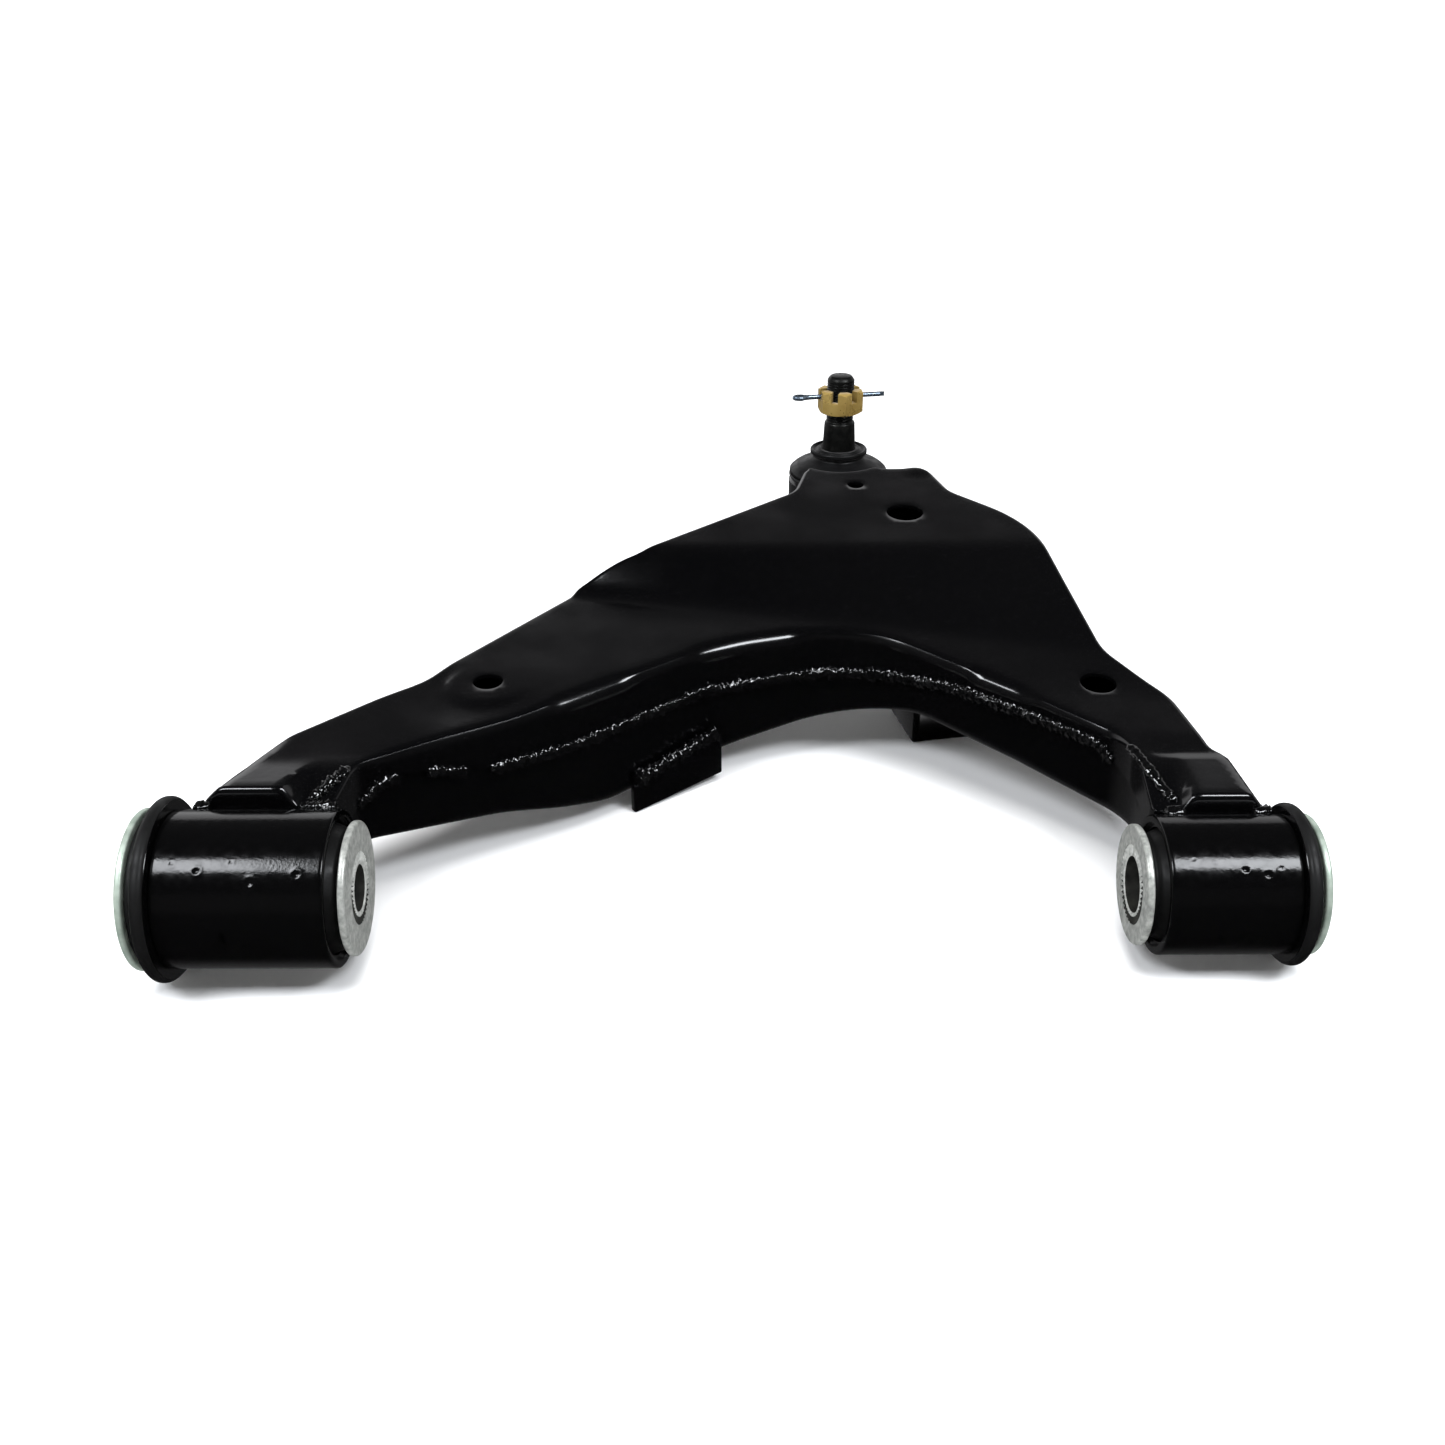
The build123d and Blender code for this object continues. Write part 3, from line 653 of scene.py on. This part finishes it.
def bead(name, line, out, width, height, replaced, seed, ripple, blobs=()):
    """A rippled bead along a line of points, standing out along the out vectors, with tapered ends."""
    line, out = np.asarray(line, float), np.asarray(out, float)
    along = np.gradient(line, axis=0)
    along /= np.linalg.norm(along, axis=1)[:, None]
    out = out - along * np.sum(out * along, axis=1)[:, None]
    out /= np.linalg.norm(out, axis=1)[:, None]
    side = np.cross(along, out)
    run = np.r_[0, np.cumsum(np.linalg.norm(np.diff(line, axis=0), axis=1))]
    end = np.minimum(run, run[-1] - run)
    taper = np.sqrt(np.clip(end / 2.5, 0.002, 1))
    points = []
    for i, place in enumerate(line):
        wander = wobble(run[i] * 0.11, seed, 0.0)
        wave = math.sin(2 * math.pi * (run[i] / ripple + 0.9 * wobble(run[i] * 0.05, seed, 3.0)))
        size = 1 + 0.14 * wave + 0.25 * wander
        for at, extra in blobs:
            size += extra * math.exp(-(((run[i] - at) / 3.0) ** 2))
        for j in range(BEAD_SIDES):
            angle = 2 * math.pi * j / BEAD_SIDES
            up, across = math.cos(angle), math.sin(angle)
            lump = wobble(run[i] * 0.5, seed + 1.9 * up, 1.9 * across)
            lump += 0.5 * wobble(run[i] * 1.1, seed + 4 * up, 4 * across)
            reach = size * taper[i] * (1 + 0.4 * lump)
            lean = 0.2 * wave * width * up
            point = place + out[i] * height * reach * up
            points.append(point + side[i] * width * reach * across + along[i] * lean * taper[i])
    faces = grid_faces(len(line), BEAD_SIDES, flip=True)
    faces.append(tuple(range(BEAD_SIDES)))
    faces.append(tuple(reversed(range(len(points) - BEAD_SIDES, len(points)))))
    add_piece(name, points, faces, WELD, "arm", replaced, crease=180)


def resampled(path, spacing):
    """A closed path with even spacing."""
    loop = np.r_[path, path[:1]]
    run = np.r_[0, np.cumsum(np.linalg.norm(np.diff(loop, axis=0), axis=1))]
    at = np.arange(0, run[-1], spacing)
    return np.c_[np.interp(at, run, loop[:, 0]), np.interp(at, run, loop[:, 1])]


WELD_INSET, WELD_DROP = 1.0, 1.3  # the seam bead's centre, inward from the wall and below the seam
ARCH_RUNS = [(39, 57, []), (66, 84, []), (92, 378, [(124, 0.55), (212, 0.5)])]  # welded X, and blobs
OUTSIDE_X = (260, 300)  # the outside beads lie before the first X and past the second


def seam_line(path, keep):
    """Bead centreline and outward directions for the kept points of the outline."""
    normals = inward_normals(path)
    place = path + normals * WELD_INSET
    z = seam_height(path[:, 0], path[:, 1]) - WELD_DROP
    line = np.c_[place, z][keep]
    out = np.c_[-normals, np.full(len(path), -0.45)][keep]
    return line, out


def seam_welds(path):
    """Beads where the upper shell's walls end on the lower shell."""
    path = resampled(path, BEAD_STEP)
    x, y = path[:, 0], path[:, 1]
    arch = (y < 178) & (y < 0.66 * x + 26) & (y < 196 - 0.5 * (x - 268)) & (y > 33) & (x < 388)
    order = np.arange(len(path))
    for k, (low, high, blobs) in enumerate(ARCH_RUNS):
        line, out = seam_line(path, order[arch & (x > low) & (x < high)])
        replaced = ["arch_seam_weld"] if k == 0 else []
        bead(f"arch_weld_{k + 1}", line, out, 3.2, 2.7, replaced, 11 + k, 3.6, blobs)
    outside = (~arch) & (y > 36) & (y < 312) & ((x > 330) | (x < 0.62 * y + 60))
    for k, side in enumerate([x > OUTSIDE_X[1], x < OUTSIDE_X[0]]):
        line, out = seam_line(path, order[outside & side])
        replaced = ["outside_seam_weld"] if k == 0 else []
        bead(f"outside_weld_{k + 1}", line, out, 2.8, 2.6, replaced, 31 + k, 4.2)


FOOT_BEADS = [  # X and Y along the feet of the tongues' inner flanks
    [(23.5, 23), (29, 29), (34, 35), (38, 40)],
    [(380.5, 60), (383.5, 49), (386, 40), (390, 28), (393, 22)],
]
FOOT_POINTS = 40
TUBE_BEADS = [  # name, X from the tube's centre of each bead, and Y of the tongue's foot
    ("big", [(-25.5, -17), (19.5, 37)], 19.4),
    ("small", [(-24, -13.5), (13.5, 23.5)], 16.2),
]


def tube_welds():
    """Short beads on the tubes at the feet of the tongues."""
    for k, corners in enumerate(FOOT_BEADS):
        steps = np.linspace(0, len(corners) - 1, FOOT_POINTS)
        x, y = [np.interp(steps, range(len(corners)), places) for places in zip(*corners)]
        line = np.c_[x, y, top_height(x, y) + 0.2]
        out = np.tile([0.0, -0.6, 0.8], (FOOT_POINTS, 1))
        bead(f"foot_bead_{k + 1}", line, out, 2.4, 1.6, [], 61 + k, 3.2)
    for tube, (label, places, y) in zip(TUBES, TUBE_BEADS):
        centre, radius = tube[:2]
        for k, (low, high) in enumerate(places):
            xs = np.arange(low, high, BEAD_STEP) + centre
            ys = np.full(len(xs), y)
            zs = np.sqrt(radius**2 - ys**2) + 0.6
            out = np.tile([0.0, y / radius - 0.5, 0.8], (len(xs), 1))
            replaced = [f"{label}_tube_weld"] if k == 0 else []
            bead(f"{label}_tube_bead_{k + 1}", np.c_[xs, ys, zs], out, 3.4, 3.0, replaced, 51 + k, 3.0)


# Bushings

# side is the X direction of the outboard end. ends and washer_r are for the inboard and the outboard end.
# scratch is a line of (X, degrees round the tube), and pits are (X, degrees, size).
BIG_BUSH = {
    "name": "big", "side": -1, "x": TUBES[0][0], "tube_r": TUBES[0][1], "tube": TUBES[0][2:],
    "ends": (46.5, 44.3), "flange_r": 39.25, "barrel_r": 33.5, "washer_r": (28.5, 34.3),
    "core_r": 15.5, "bore_r": 10.0, "body": "big_core",
    "scratch": [(-2.9, 180.8), (-2.9, 187.0), (-1.2, 193.5), (3.0, 194.0), (7.4, 190.0)],
    "pits": [(-11.7, 133.4, 0.9), (9.9, 141.6, 1.1), (28.4, 136.1, 1), (-22, 128, 0.6), (2, 127, 0.5)],
}
SMALL_BUSH = {
    "name": "small", "side": 1, "x": TUBES[1][0], "tube_r": TUBES[1][1], "tube": TUBES[1][2:],
    "ends": (38.0, 35.6), "flange_r": 34.25, "barrel_r": 28.75, "washer_r": (25.5, 29.8),
    "core_r": 17.0, "bore_r": 12.0, "body": "small_core",
    "scratch": [(-8.1, 194.4), (-5.5, 199.5), (-1.5, 198.0), (2.4, 190.0)],
    "pits": [(0.5, 134.3, 0.9), (9.6, 138.2, 1), (-12, 130, 0.5), (15, 133, 0.6), (-20, 126, 0.5)],
}
TUBE_WALL, SLEEVE_WALL, FLANGE, LIP, WASHER = 3.5, 1.75, 2.5, 3.5, 3.0
FACE_GAP, TURN_GAP = 0.3, 0.08  # room between the rubber and a washer, and round the core
TUBE_SIDES = 300


def line_distance(u, v, corners):
    """Distance from points to a broken line."""
    best = np.full(u.shape, 1e9)
    for (u0, v0), (u1, v1) in zip(corners, corners[1:]):
        du, dv = u1 - u0, v1 - v0
        share = np.clip(((u - u0) * du + (v - v0) * dv) / (du * du + dv * dv), 0, 1)
        best = np.minimum(best, np.hypot(u - u0 - du * share, v - v0 - dv * share))
    return best


def bush_tube(bush):
    """Drawn tube with rolled rims, paint pits and a hooked scratch low on its front."""
    radius, (low, high) = bush["tube_r"], bush["tube"]
    bore = radius - TUBE_WALL + 0.02
    corners = [((low, bore), 0.5), ((low, radius), 1.1), ((high, radius), 1.1), ((high, bore), 0.9)]
    profile = rounded_path(corners, 0.8)
    points, faces = lathe(profile, "X", (0, 0, 0), TUBE_SIDES)
    turn = np.degrees(np.arctan2(points[:, 2], points[:, 1])) % 360
    reach = np.hypot(points[:, 1], points[:, 2])
    shell = reach > radius - 0.3
    arc = math.radians(1) * radius
    depth = np.zeros(len(points))
    for x, angle, size in bush["pits"]:
        away = np.hypot(points[:, 0] - x, (turn - angle) * arc) / size
        depth += size * (0.55 * np.exp(-(away**2)) - 0.14 * np.exp(-((away - 1.8) ** 2) * 2))
    scratch = [(x, angle * arc) for x, angle in bush["scratch"]]
    away = line_distance(points[:, 0], turn * arc, scratch)
    depth += 1.5 * np.exp(-((away / 1.1) ** 2)) - 0.22 * np.exp(-(((away - 2.2) / 0.7) ** 2))
    scale = np.where(shell, 1 - depth / reach, 1.0)
    points[:, 1:] *= scale[:, None]
    points[:, 0] += bush["x"]
    name = bush["name"]
    add_piece(f"{name}_tube", points, faces, GLOSS, "arm", [f"{name}_bush_tube"])


def bush_rubber(bush):
    """Rubber body: a thick rounded lip over the flange, a barrel outside it and a cone at the open end."""
    side, (low, high), name = bush["side"], bush["tube"], bush["name"]
    flange_end = low if side < 0 else high
    open_end = high if side < 0 else low
    sleeve_bore = bush["tube_r"] - TUBE_WALL - SLEEVE_WALL
    lip_start = flange_end + side * 0.05
    lip_end = flange_end + side * (FLANGE + LIP)
    cone, end = [sign * side * (reach - WASHER - FACE_GAP) for sign, reach in zip((-1, 1), bush["ends"])]
    core = bush["core_r"] + TURN_GAP
    corners = [
        ((cone, core), 0.3), ((cone, core + 6), 1.5), ((open_end - side * 2.2, sleeve_bore - 3), 2.0),
        ((open_end + side * 4, sleeve_bore - 0.05), 1.0), ((lip_start, sleeve_bore - 0.05), 0.1),
        ((lip_start, bush["flange_r"]), 2.6), ((lip_end, bush["flange_r"]), 2.8),
        ((lip_end, bush["barrel_r"] + 1.2), 0.6), ((lip_end + side * 0.9, bush["barrel_r"] + 0.9), 0.5),
        ((lip_end + side * 0.9, bush["barrel_r"] - 0.5), 0.3), ((end, bush["barrel_r"] - 0.2), 2.2),
        ((end, core), 0.3),
    ]
    turned(f"{name}_rubber", corners, "X", (bush["x"], 0, 0), RUBBER, "arm",
           [f"{name}_bush_rubber"], 0.7, 128)


def washers(bush):
    """Flat end washers with rolled rims."""
    sides = (("inboard", -bush["side"]), ("outboard", bush["side"]))
    for (label, direction), radius, reach in zip(sides, bush["washer_r"], bush["ends"]):
        face = direction * reach
        back = face - direction * WASHER
        bore = bush["core_r"] + 0.03
        corners = [((back, bore), 0), ((back, radius), 0.9), ((face, radius), 1.1), ((face, bore), 0)]
        material = WASHER_ZINC if label == "inboard" else OUTER_ZINC
        node = f"{bush['name']}_bush_{label}_washer"
        turned(f"{bush['name']}_{label}_washer", corners, "X", (bush["x"], 0, 0), material, bush["body"],
               [node], 0.5, 144)


TEETH, TOOTH = 40, 0.9  # serrations on a core's end faces and their depth


def bush_core(bush):
    """Core sleeve whose end faces carry a ring of radial serrations, with painted shade on its bore and in
    the serration grooves.
    """
    name, outer, bore = bush["name"], bush["core_r"], bush["bore_r"]
    low, high = sorted(sign * bush["side"] * reach for sign, reach in zip((-1, 1), bush["ends"]))
    radii = [bore, bore + 0.6, outer - 4.2, outer - 3.4, outer - 0.7, outer]
    cut = [0.5, 0.0, 0.0, 1.0, 1.0, 1.0]  # chamfer at the bore, then full tooth depth
    segments = TEETH * 4
    turn = np.arange(segments) * 2 * math.pi / segments
    wave = 0.5 - 0.5 * np.cos(turn * TEETH)
    rings = []
    for end in (low, high):
        direction = math.copysign(1, end)
        order = range(len(radii)) if end < 0 else reversed(range(len(radii)))
        for k in order:
            depth = 0.5 if k == 0 else TOOTH * wave * (cut[k] if k > 2 else 0.0)
            x = end - direction * depth * np.ones(segments)
            rings.append(np.c_[bush["x"] + x, radii[k] * np.cos(turn), radii[k] * np.sin(turn)])
    points = np.concatenate(rings)
    faces = grid_faces(len(rings), segments, wrap_rows=True, flip=True)
    piece = add_piece(f"{name}_core", points, faces, CORE_ZINC, bush["body"],
                      [f"{name}_bush_core"], 50)
    # The bore's faces and the grooves between the serrations take the painted shade material.
    piece.data.materials.append(BORE_SHADE_PAINT)
    for face in piece.data.polygons:
        reach = [math.hypot(*list(piece.data.vertices[i].co)[1:]) for i in face.vertices]
        turn = math.atan2(face.center[2], face.center[1]) / (2 * math.pi)
        groove = (turn * TEETH) % 1 > 0.55 and (outer - 3.6) * MM < min(reach)
        if max(reach) < (bore + 0.5) * MM or groove:
            face.material_index = 1


def bushing(bush):
    bush_tube(bush)
    bush_rubber(bush)
    washers(bush)
    bush_core(bush)


# Ball joint

NUT_TURN = 9.0
THREAD_R, PITCH_MM, THREAD_Z, STUD_TOP = 8.0, 1.5, (96.0, 119.6), 122.0
PIN_Z, PIN_R = 109.8, 1.5
BOOT_TOP_Z = (74.8, 78.6)


def ball_stud():
    """Ball, neck, taper and a cut thread with a plain chamfered top."""
    ball_z, ball_r, neck = 44.0, 15.0, 7.0
    lower = [(ball_z + ball_r * math.sin(a), ball_r * math.cos(a)) for a in np.radians(np.arange(-54, 61, 6))]
    lower = [(lower[0][0], 0.01)] + lower
    shank = [
        (62.0, neck), (69.0, neck), (73.0, 9.5), (75.5, 9.9), (76.5, 9.85), (93.8, 8.95), (94.4, 8.7),
        (94.6, 8.3), (94.8, 7.9), (95.2, THREAD_R - 0.4), (95.9, THREAD_R - 0.4),
    ]
    steps = round((THREAD_Z[1] - THREAD_Z[0]) / 0.19)
    thread = [(z, None) for z in np.linspace(THREAD_Z[0] + 0.1, THREAD_Z[1], steps)]
    top = [(119.8, THREAD_R - 0.3), (120.6, THREAD_R - 0.7), (121.8, 6.2), (STUD_TOP, 5.6), (STUD_TOP, 0.01)]
    rows = lower + shank + thread + top
    segments = 64
    turn = np.arange(segments) * 2 * math.pi / segments
    points = []
    for z, radius in rows:
        if radius is None:
            phase = (z / PITCH_MM - turn / (2 * math.pi)) % 1
            depth = 0.75 * np.clip(1.9 * np.abs(2 * phase - 1) - 0.9, 0, 1)
            fade = min(1, (THREAD_Z[1] - z) / 0.8)
            radius = THREAD_R - 0.05 - depth * fade
        r = radius * np.ones(segments)
        points.append(np.c_[BALL[0] + r * np.cos(turn), BALL[1] + r * np.sin(turn), np.full(segments, z)])
    faces = grid_faces(len(rows), segments)
    faces.append(tuple(reversed(range(segments))))
    last = (len(rows) - 1) * segments
    faces.append(tuple(range(last, last + segments)))
    points = np.concatenate(points)
    return add_piece("stud", points, faces, STUD_STEEL, "stud", ["ball_stud"], 50)


def dust_boot():
    """Moulded boot: rounded shoulder on the housing, concave flare, and a cuff that follows the stud."""
    corners = [
        ((61.2, 24.2), 0.2), ((61.2, 27.6), 0.4), ((63.3, 27.9), 0.4), ((64.0, 29.1), 0.5),
        ((65.4, 29.1), 1.0), ((67.4, 27.0), 2.5), ((69.0, 24.6), 2.0), ((71.4, 17.8), 4.0),
        ((73.2, 15.0), 1.0), ((74.6, 15.0), 0.2), ((74.6, 10.9), 0.2), ((73.0, 12.8), 1.0),
        ((69.8, 16.2), 3.0), ((67.2, 22.8), 2.5), ((66.0, 26.3), 0.5), ((65.4, 25.8), 0.2),
        ((63.6, 25.8), 0.2), ((63.6, 24.2), 0.2),
    ]
    profile = rounded_path(corners, 0.6)
    points, faces = lathe(profile, "Z", (BALL[0], BALL[1], 0), 128)
    boot = add_piece("boot", points, faces, BOOT_RUBBER, None, ["dust_boot"])
    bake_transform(boot)


def boot_cuff():
    """Stiff top cuff: a flange with a raised inner lip and a dished top."""
    low, high = BOOT_TOP_Z
    corners = [
        ((low, 10.2), 0.2), ((low, 15.0), 0.4), ((low + 0.9, 16.9), 0.6), ((high - 1.0, 16.9), 0.6),
        ((high - 0.2, 16.2), 0.4), ((high - 0.9, 15.2), 0.4), ((high - 1.7, 14.4), 0.5),
        ((high - 1.2, 13.2), 0.5), ((high - 0.1, 12.2), 0.5), ((high - 0.1, 10.6), 0.3),
        ((high - 0.7, 10.15), 0.2), ((low + 0.6, 10.15), 0.1),
    ]
    return turned("boot_cuff", corners, "Z", (BALL[0], BALL[1], 0), BOOT_RUBBER, "boot_top",
                  ["boot_top_ring"], 0.4, 96)


def rounded_copy(name, node, width, material, body):
    """A CAD node's shape with its edges rounded."""
    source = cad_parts[node].data.copy()
    source.name = name
    piece = link(name, source)
    for kind, settings in (
        ("WELD", {"merge_threshold": 1e-6}),
        ("DECIMATE", {"decimate_type": "DISSOLVE", "angle_limit": math.radians(1)}),
        ("BEVEL", {"width": width * MM, "segments": 3, "angle_limit": math.radians(30)}),
    ):
        modifier = piece.modifiers.new(kind, kind)
        for key, value in settings.items():
            setattr(modifier, key, value)
    mesh = apply_modifiers(piece)
    mesh.materials.clear()
    mesh.materials.append(material)
    smooth(mesh, 42)
    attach(piece, body)
    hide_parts(node)
    return piece


def cotter_pin():
    """Split pin bent from half-round wire: two flat-faced legs and an open eye."""
    eye_x, throat_x, leg_end, gap, columns = -24.6, -18.5, 26.5, 0.12, 12
    path = [(leg_end, gap), (throat_x, gap)]
    for angle in range(30, 331, 15):
        turn = math.radians(angle)
        path.append((eye_x + 2.9 * math.cos(turn), 2.1 * math.sin(turn)))
    path += [(throat_x, -gap), (leg_end - 3.0, -gap)]
    path = np.array(path)
    along = np.gradient(path, axis=0)
    along /= np.linalg.norm(along, axis=1)[:, None]
    outward = np.c_[along[:, 1], -along[:, 0]]
    points = []
    for place, out in zip(path, outward):
        for j in range(columns):
            angle = math.pi * j / (columns - 1) - math.pi / 2
            reach, rise = PIN_R * math.cos(angle) * 0.92, PIN_R * math.sin(angle) * 0.92
            points.append((place[0] + out[0] * reach, place[1] + out[1] * reach, rise))
    faces = grid_faces(len(path), columns)
    faces.append(tuple(reversed(range(columns))))
    faces.append(tuple(range(len(points) - columns, len(points))))
    turn = math.radians(NUT_TURN)
    points = np.array(points)
    x = points[:, 0] * math.cos(turn) - points[:, 1] * math.sin(turn)
    y = points[:, 0] * math.sin(turn) + points[:, 1] * math.cos(turn)
    points = np.c_[BALL[0] + x, BALL[1] + y, PIN_Z + points[:, 2]]
    return add_piece("split_pin", points, faces, PIN_ZINC, "stud", ["cotter_pin"], 50)


def ball_joint():
    stud = ball_stud()
    nut = rounded_copy("castellated_nut", "castle_nut", 0.45, NUT_ZINC, "stud")
    pin = cotter_pin()
    dust_boot()
    cuff = boot_cuff()
    for piece in (stud, nut, pin, cuff):
        piece.visible_glossy = False
    rounded_copy("socket_ring", "ball_joint_socket", 0.9, FORGED, "arm")


# Brackets and the CAD nodes that stay

BRACKET_FOOT = ((153.7, 119.2), (197.3, 150.9))  # ends of the wall bracket's foot on the wall
BRACKET_WELD_Z = -18.6  # height of its weld's near end


def brackets():
    """The two brackets, and the bead along the foot of the one on the wall."""
    rounded_copy("wall_bracket_plate", "wall_bracket", 0.8, PAINT, "arm")
    rounded_copy("underside_channel", "underside_bracket", 1.2, PAINT, "arm")
    low, high = np.array(BRACKET_FOOT)
    along = (high - low) / np.linalg.norm(high - low)
    out = np.array([along[1], -along[0]])
    share = np.linspace(0.02, 0.98, 100)
    place = low + (high - low) * share[:, None] + out * 2.4
    line = np.c_[place, BRACKET_WELD_Z + (share - 0.03) * 12.6]
    outward = np.tile([out[0] * 0.8, out[1] * 0.8, 0.6], (len(line), 1))
    blobs = [(2.5, 0.6), (51.0, 0.6)]
    bead("bracket_weld", line, outward, 3.2, 2.8, ["wall_bracket_weld"], 71, 4.4, blobs)


def finish_cad_nodes():
    """Procedural materials for the CAD nodes that stay in view."""
    kept = {
        "ball_joint_housing": FORGED,
        "ball_joint_cover": FORGED,
        "retaining_ring": SPRING,
        "boot_clamp_ring": SPRING,
        "bearing_seat": POLYMER,
        "big_bush_outer_sleeve": GLOSS,
        "small_bush_outer_sleeve": GLOSS,
    }
    for name, material in kept.items():
        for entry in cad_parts[name].material_slots:
            entry.material = material


# Camera, floor and lights

CAMERA_AT = (198.1, -523.2, 363.3)
LENS, SENSOR = 37.37, 36.0
PITCH, YAW, ROLL = 28.55, 0.15, 0.18  # degrees down, to the right and clockwise
FLOOR_Z, FLOOR_DX, FLOOR_DY = -38.87, 0.011, 0.0094  # the plane that the arm rests on


def add_camera():
    """The studio camera at its solved place, without depth of field or shift."""
    data = bpy.data.cameras.new("studio_camera")
    data.lens = LENS
    data.sensor_width = SENSOR
    data.clip_start = 0.01
    data.clip_end = 200.0
    camera = link("studio_camera", data)
    turn = Matrix.Rotation(math.radians(-YAW), 4, "Z") @ Matrix.Rotation(math.radians(90 - PITCH), 4, "X")
    turn = turn @ Matrix.Rotation(math.radians(-ROLL), 4, "Z")
    camera.matrix_world = Matrix.Translation(Vector(CAMERA_AT) * MM) @ turn
    bpy.context.scene.camera = camera


SWEEP = [(8.0, 0.0), (9.0, 0.0), (12.0, 0.7), (16.0, 2.9), (40.0, 20.0)]  # radius and rise in metres


def add_floor():
    """A flat pale floor that sweeps up to a backdrop all round, far from the arm."""
    segments = 64
    turn = np.arange(segments) * 2 * math.pi / segments
    rings = []
    for radius, rise in SWEEP:
        x, y = radius * np.cos(turn), radius * np.sin(turn)
        rings.append(np.c_[x, y, FLOOR_Z * MM + FLOOR_DX * x + FLOOR_DY * y + rise])
    points = [tuple(point) for point in np.concatenate(rings)]
    mesh = bpy.data.meshes.new("floor")
    mesh.from_pydata(points, [], [tuple(range(segments)), *grid_faces(len(rings), segments, flip=True)])
    mesh.shade_smooth()
    floor = link("floor", mesh)
    material, shader = new_material("floor_white", (0.93, 0.93, 0.93), 0.9)
    shader.inputs["Specular IOR Level"].default_value = 0.0
    mesh.materials.append(material)
    floor.visible_glossy = False


SKY = [  # height from 0, straight down, to 1, straight up, and brightness there
    (0.0, 0.1), (0.2, 0.1), (0.47, 0.12), (0.52, 1.0), (0.7, 1.0), (0.727, 0.07), (0.82, 0.07), (0.93, 0.04),
    (1.0, 0.02),
]


def add_world():
    """Studio seen only in reflections: bright near the horizon behind the arm, dark overhead and in front."""
    world = bpy.data.worlds.new("studio")
    world.use_nodes = True
    tree = world.node_tree
    place = tree.nodes.new("ShaderNodeTexCoord")
    split = tree.nodes.new("ShaderNodeSeparateXYZ")
    ramp = tree.nodes.new("ShaderNodeValToRGB")
    both = tree.nodes.new("ShaderNodeMath")
    both.operation = "MULTIPLY"
    tree.links.new(place.outputs["Generated"], split.inputs["Vector"])
    tree.links.new(spread(tree, split.outputs["Z"], 0, 1, -1, 1), ramp.inputs["Fac"])
    tree.links.new(spread(tree, split.outputs["X"], 1.1, 0.6, -0.35, 0.45), both.inputs[0])
    tree.links.new(spread(tree, split.outputs["Y"], 0.07, 1, -0.1, 0.25), both.inputs[1])
    tree.links.new(ramp.outputs["Color"], tree.nodes["Background"].inputs["Color"])
    tree.links.new(both.outputs["Value"], tree.nodes["Background"].inputs["Strength"])
    for k, (height, level) in enumerate(SKY):
        stop = ramp.color_ramp.elements[k] if k < 2 else ramp.color_ramp.elements.new(height)
        stop.position = height
        stop.color = (level, level, level * 1.02, 1)
    world.cycles_visibility.diffuse = False
    bpy.context.scene.world = world


SOFTBOX_X = {"left": (-1.25, -0.38), "right": (0.72, 1.5)}  # metres
SOFTBOX_Y, SOFTBOX_Z, SOFTBOX_DEPTH = -0.56, 1.3, 0.46


def add_lights():
    """Two softboxes over the camera's side and a broad fill from straight above."""
    for label, (low, high) in SOFTBOX_X.items():
        softbox = bpy.data.lights.new(f"softbox_{label}", "AREA")
        softbox.shape = "RECTANGLE"
        softbox.size = high - low
        softbox.size_y = SOFTBOX_DEPTH
        softbox.energy = 27.0
        softbox.color = (0.93, 0.96, 1.0)
        link(f"softbox_{label}", softbox).location = ((low + high) / 2, SOFTBOX_Y, SOFTBOX_Z)
    fill = bpy.data.lights.new("fill", "SUN")
    fill.energy = 3.6
    fill.angle = math.radians(50)
    link("fill", fill).visible_glossy = False
    bpy.context.scene.view_settings.view_transform = "Standard"


add_camera()
add_floor()
add_world()
add_lights()
upper_shell(outline_path())
lower_shell(outline_path(10))
seam_welds(outline_path())
tube_welds()
for settings in (BIG_BUSH, SMALL_BUSH):
    bushing(settings)
ball_joint()
brackets()
finish_cad_nodes()
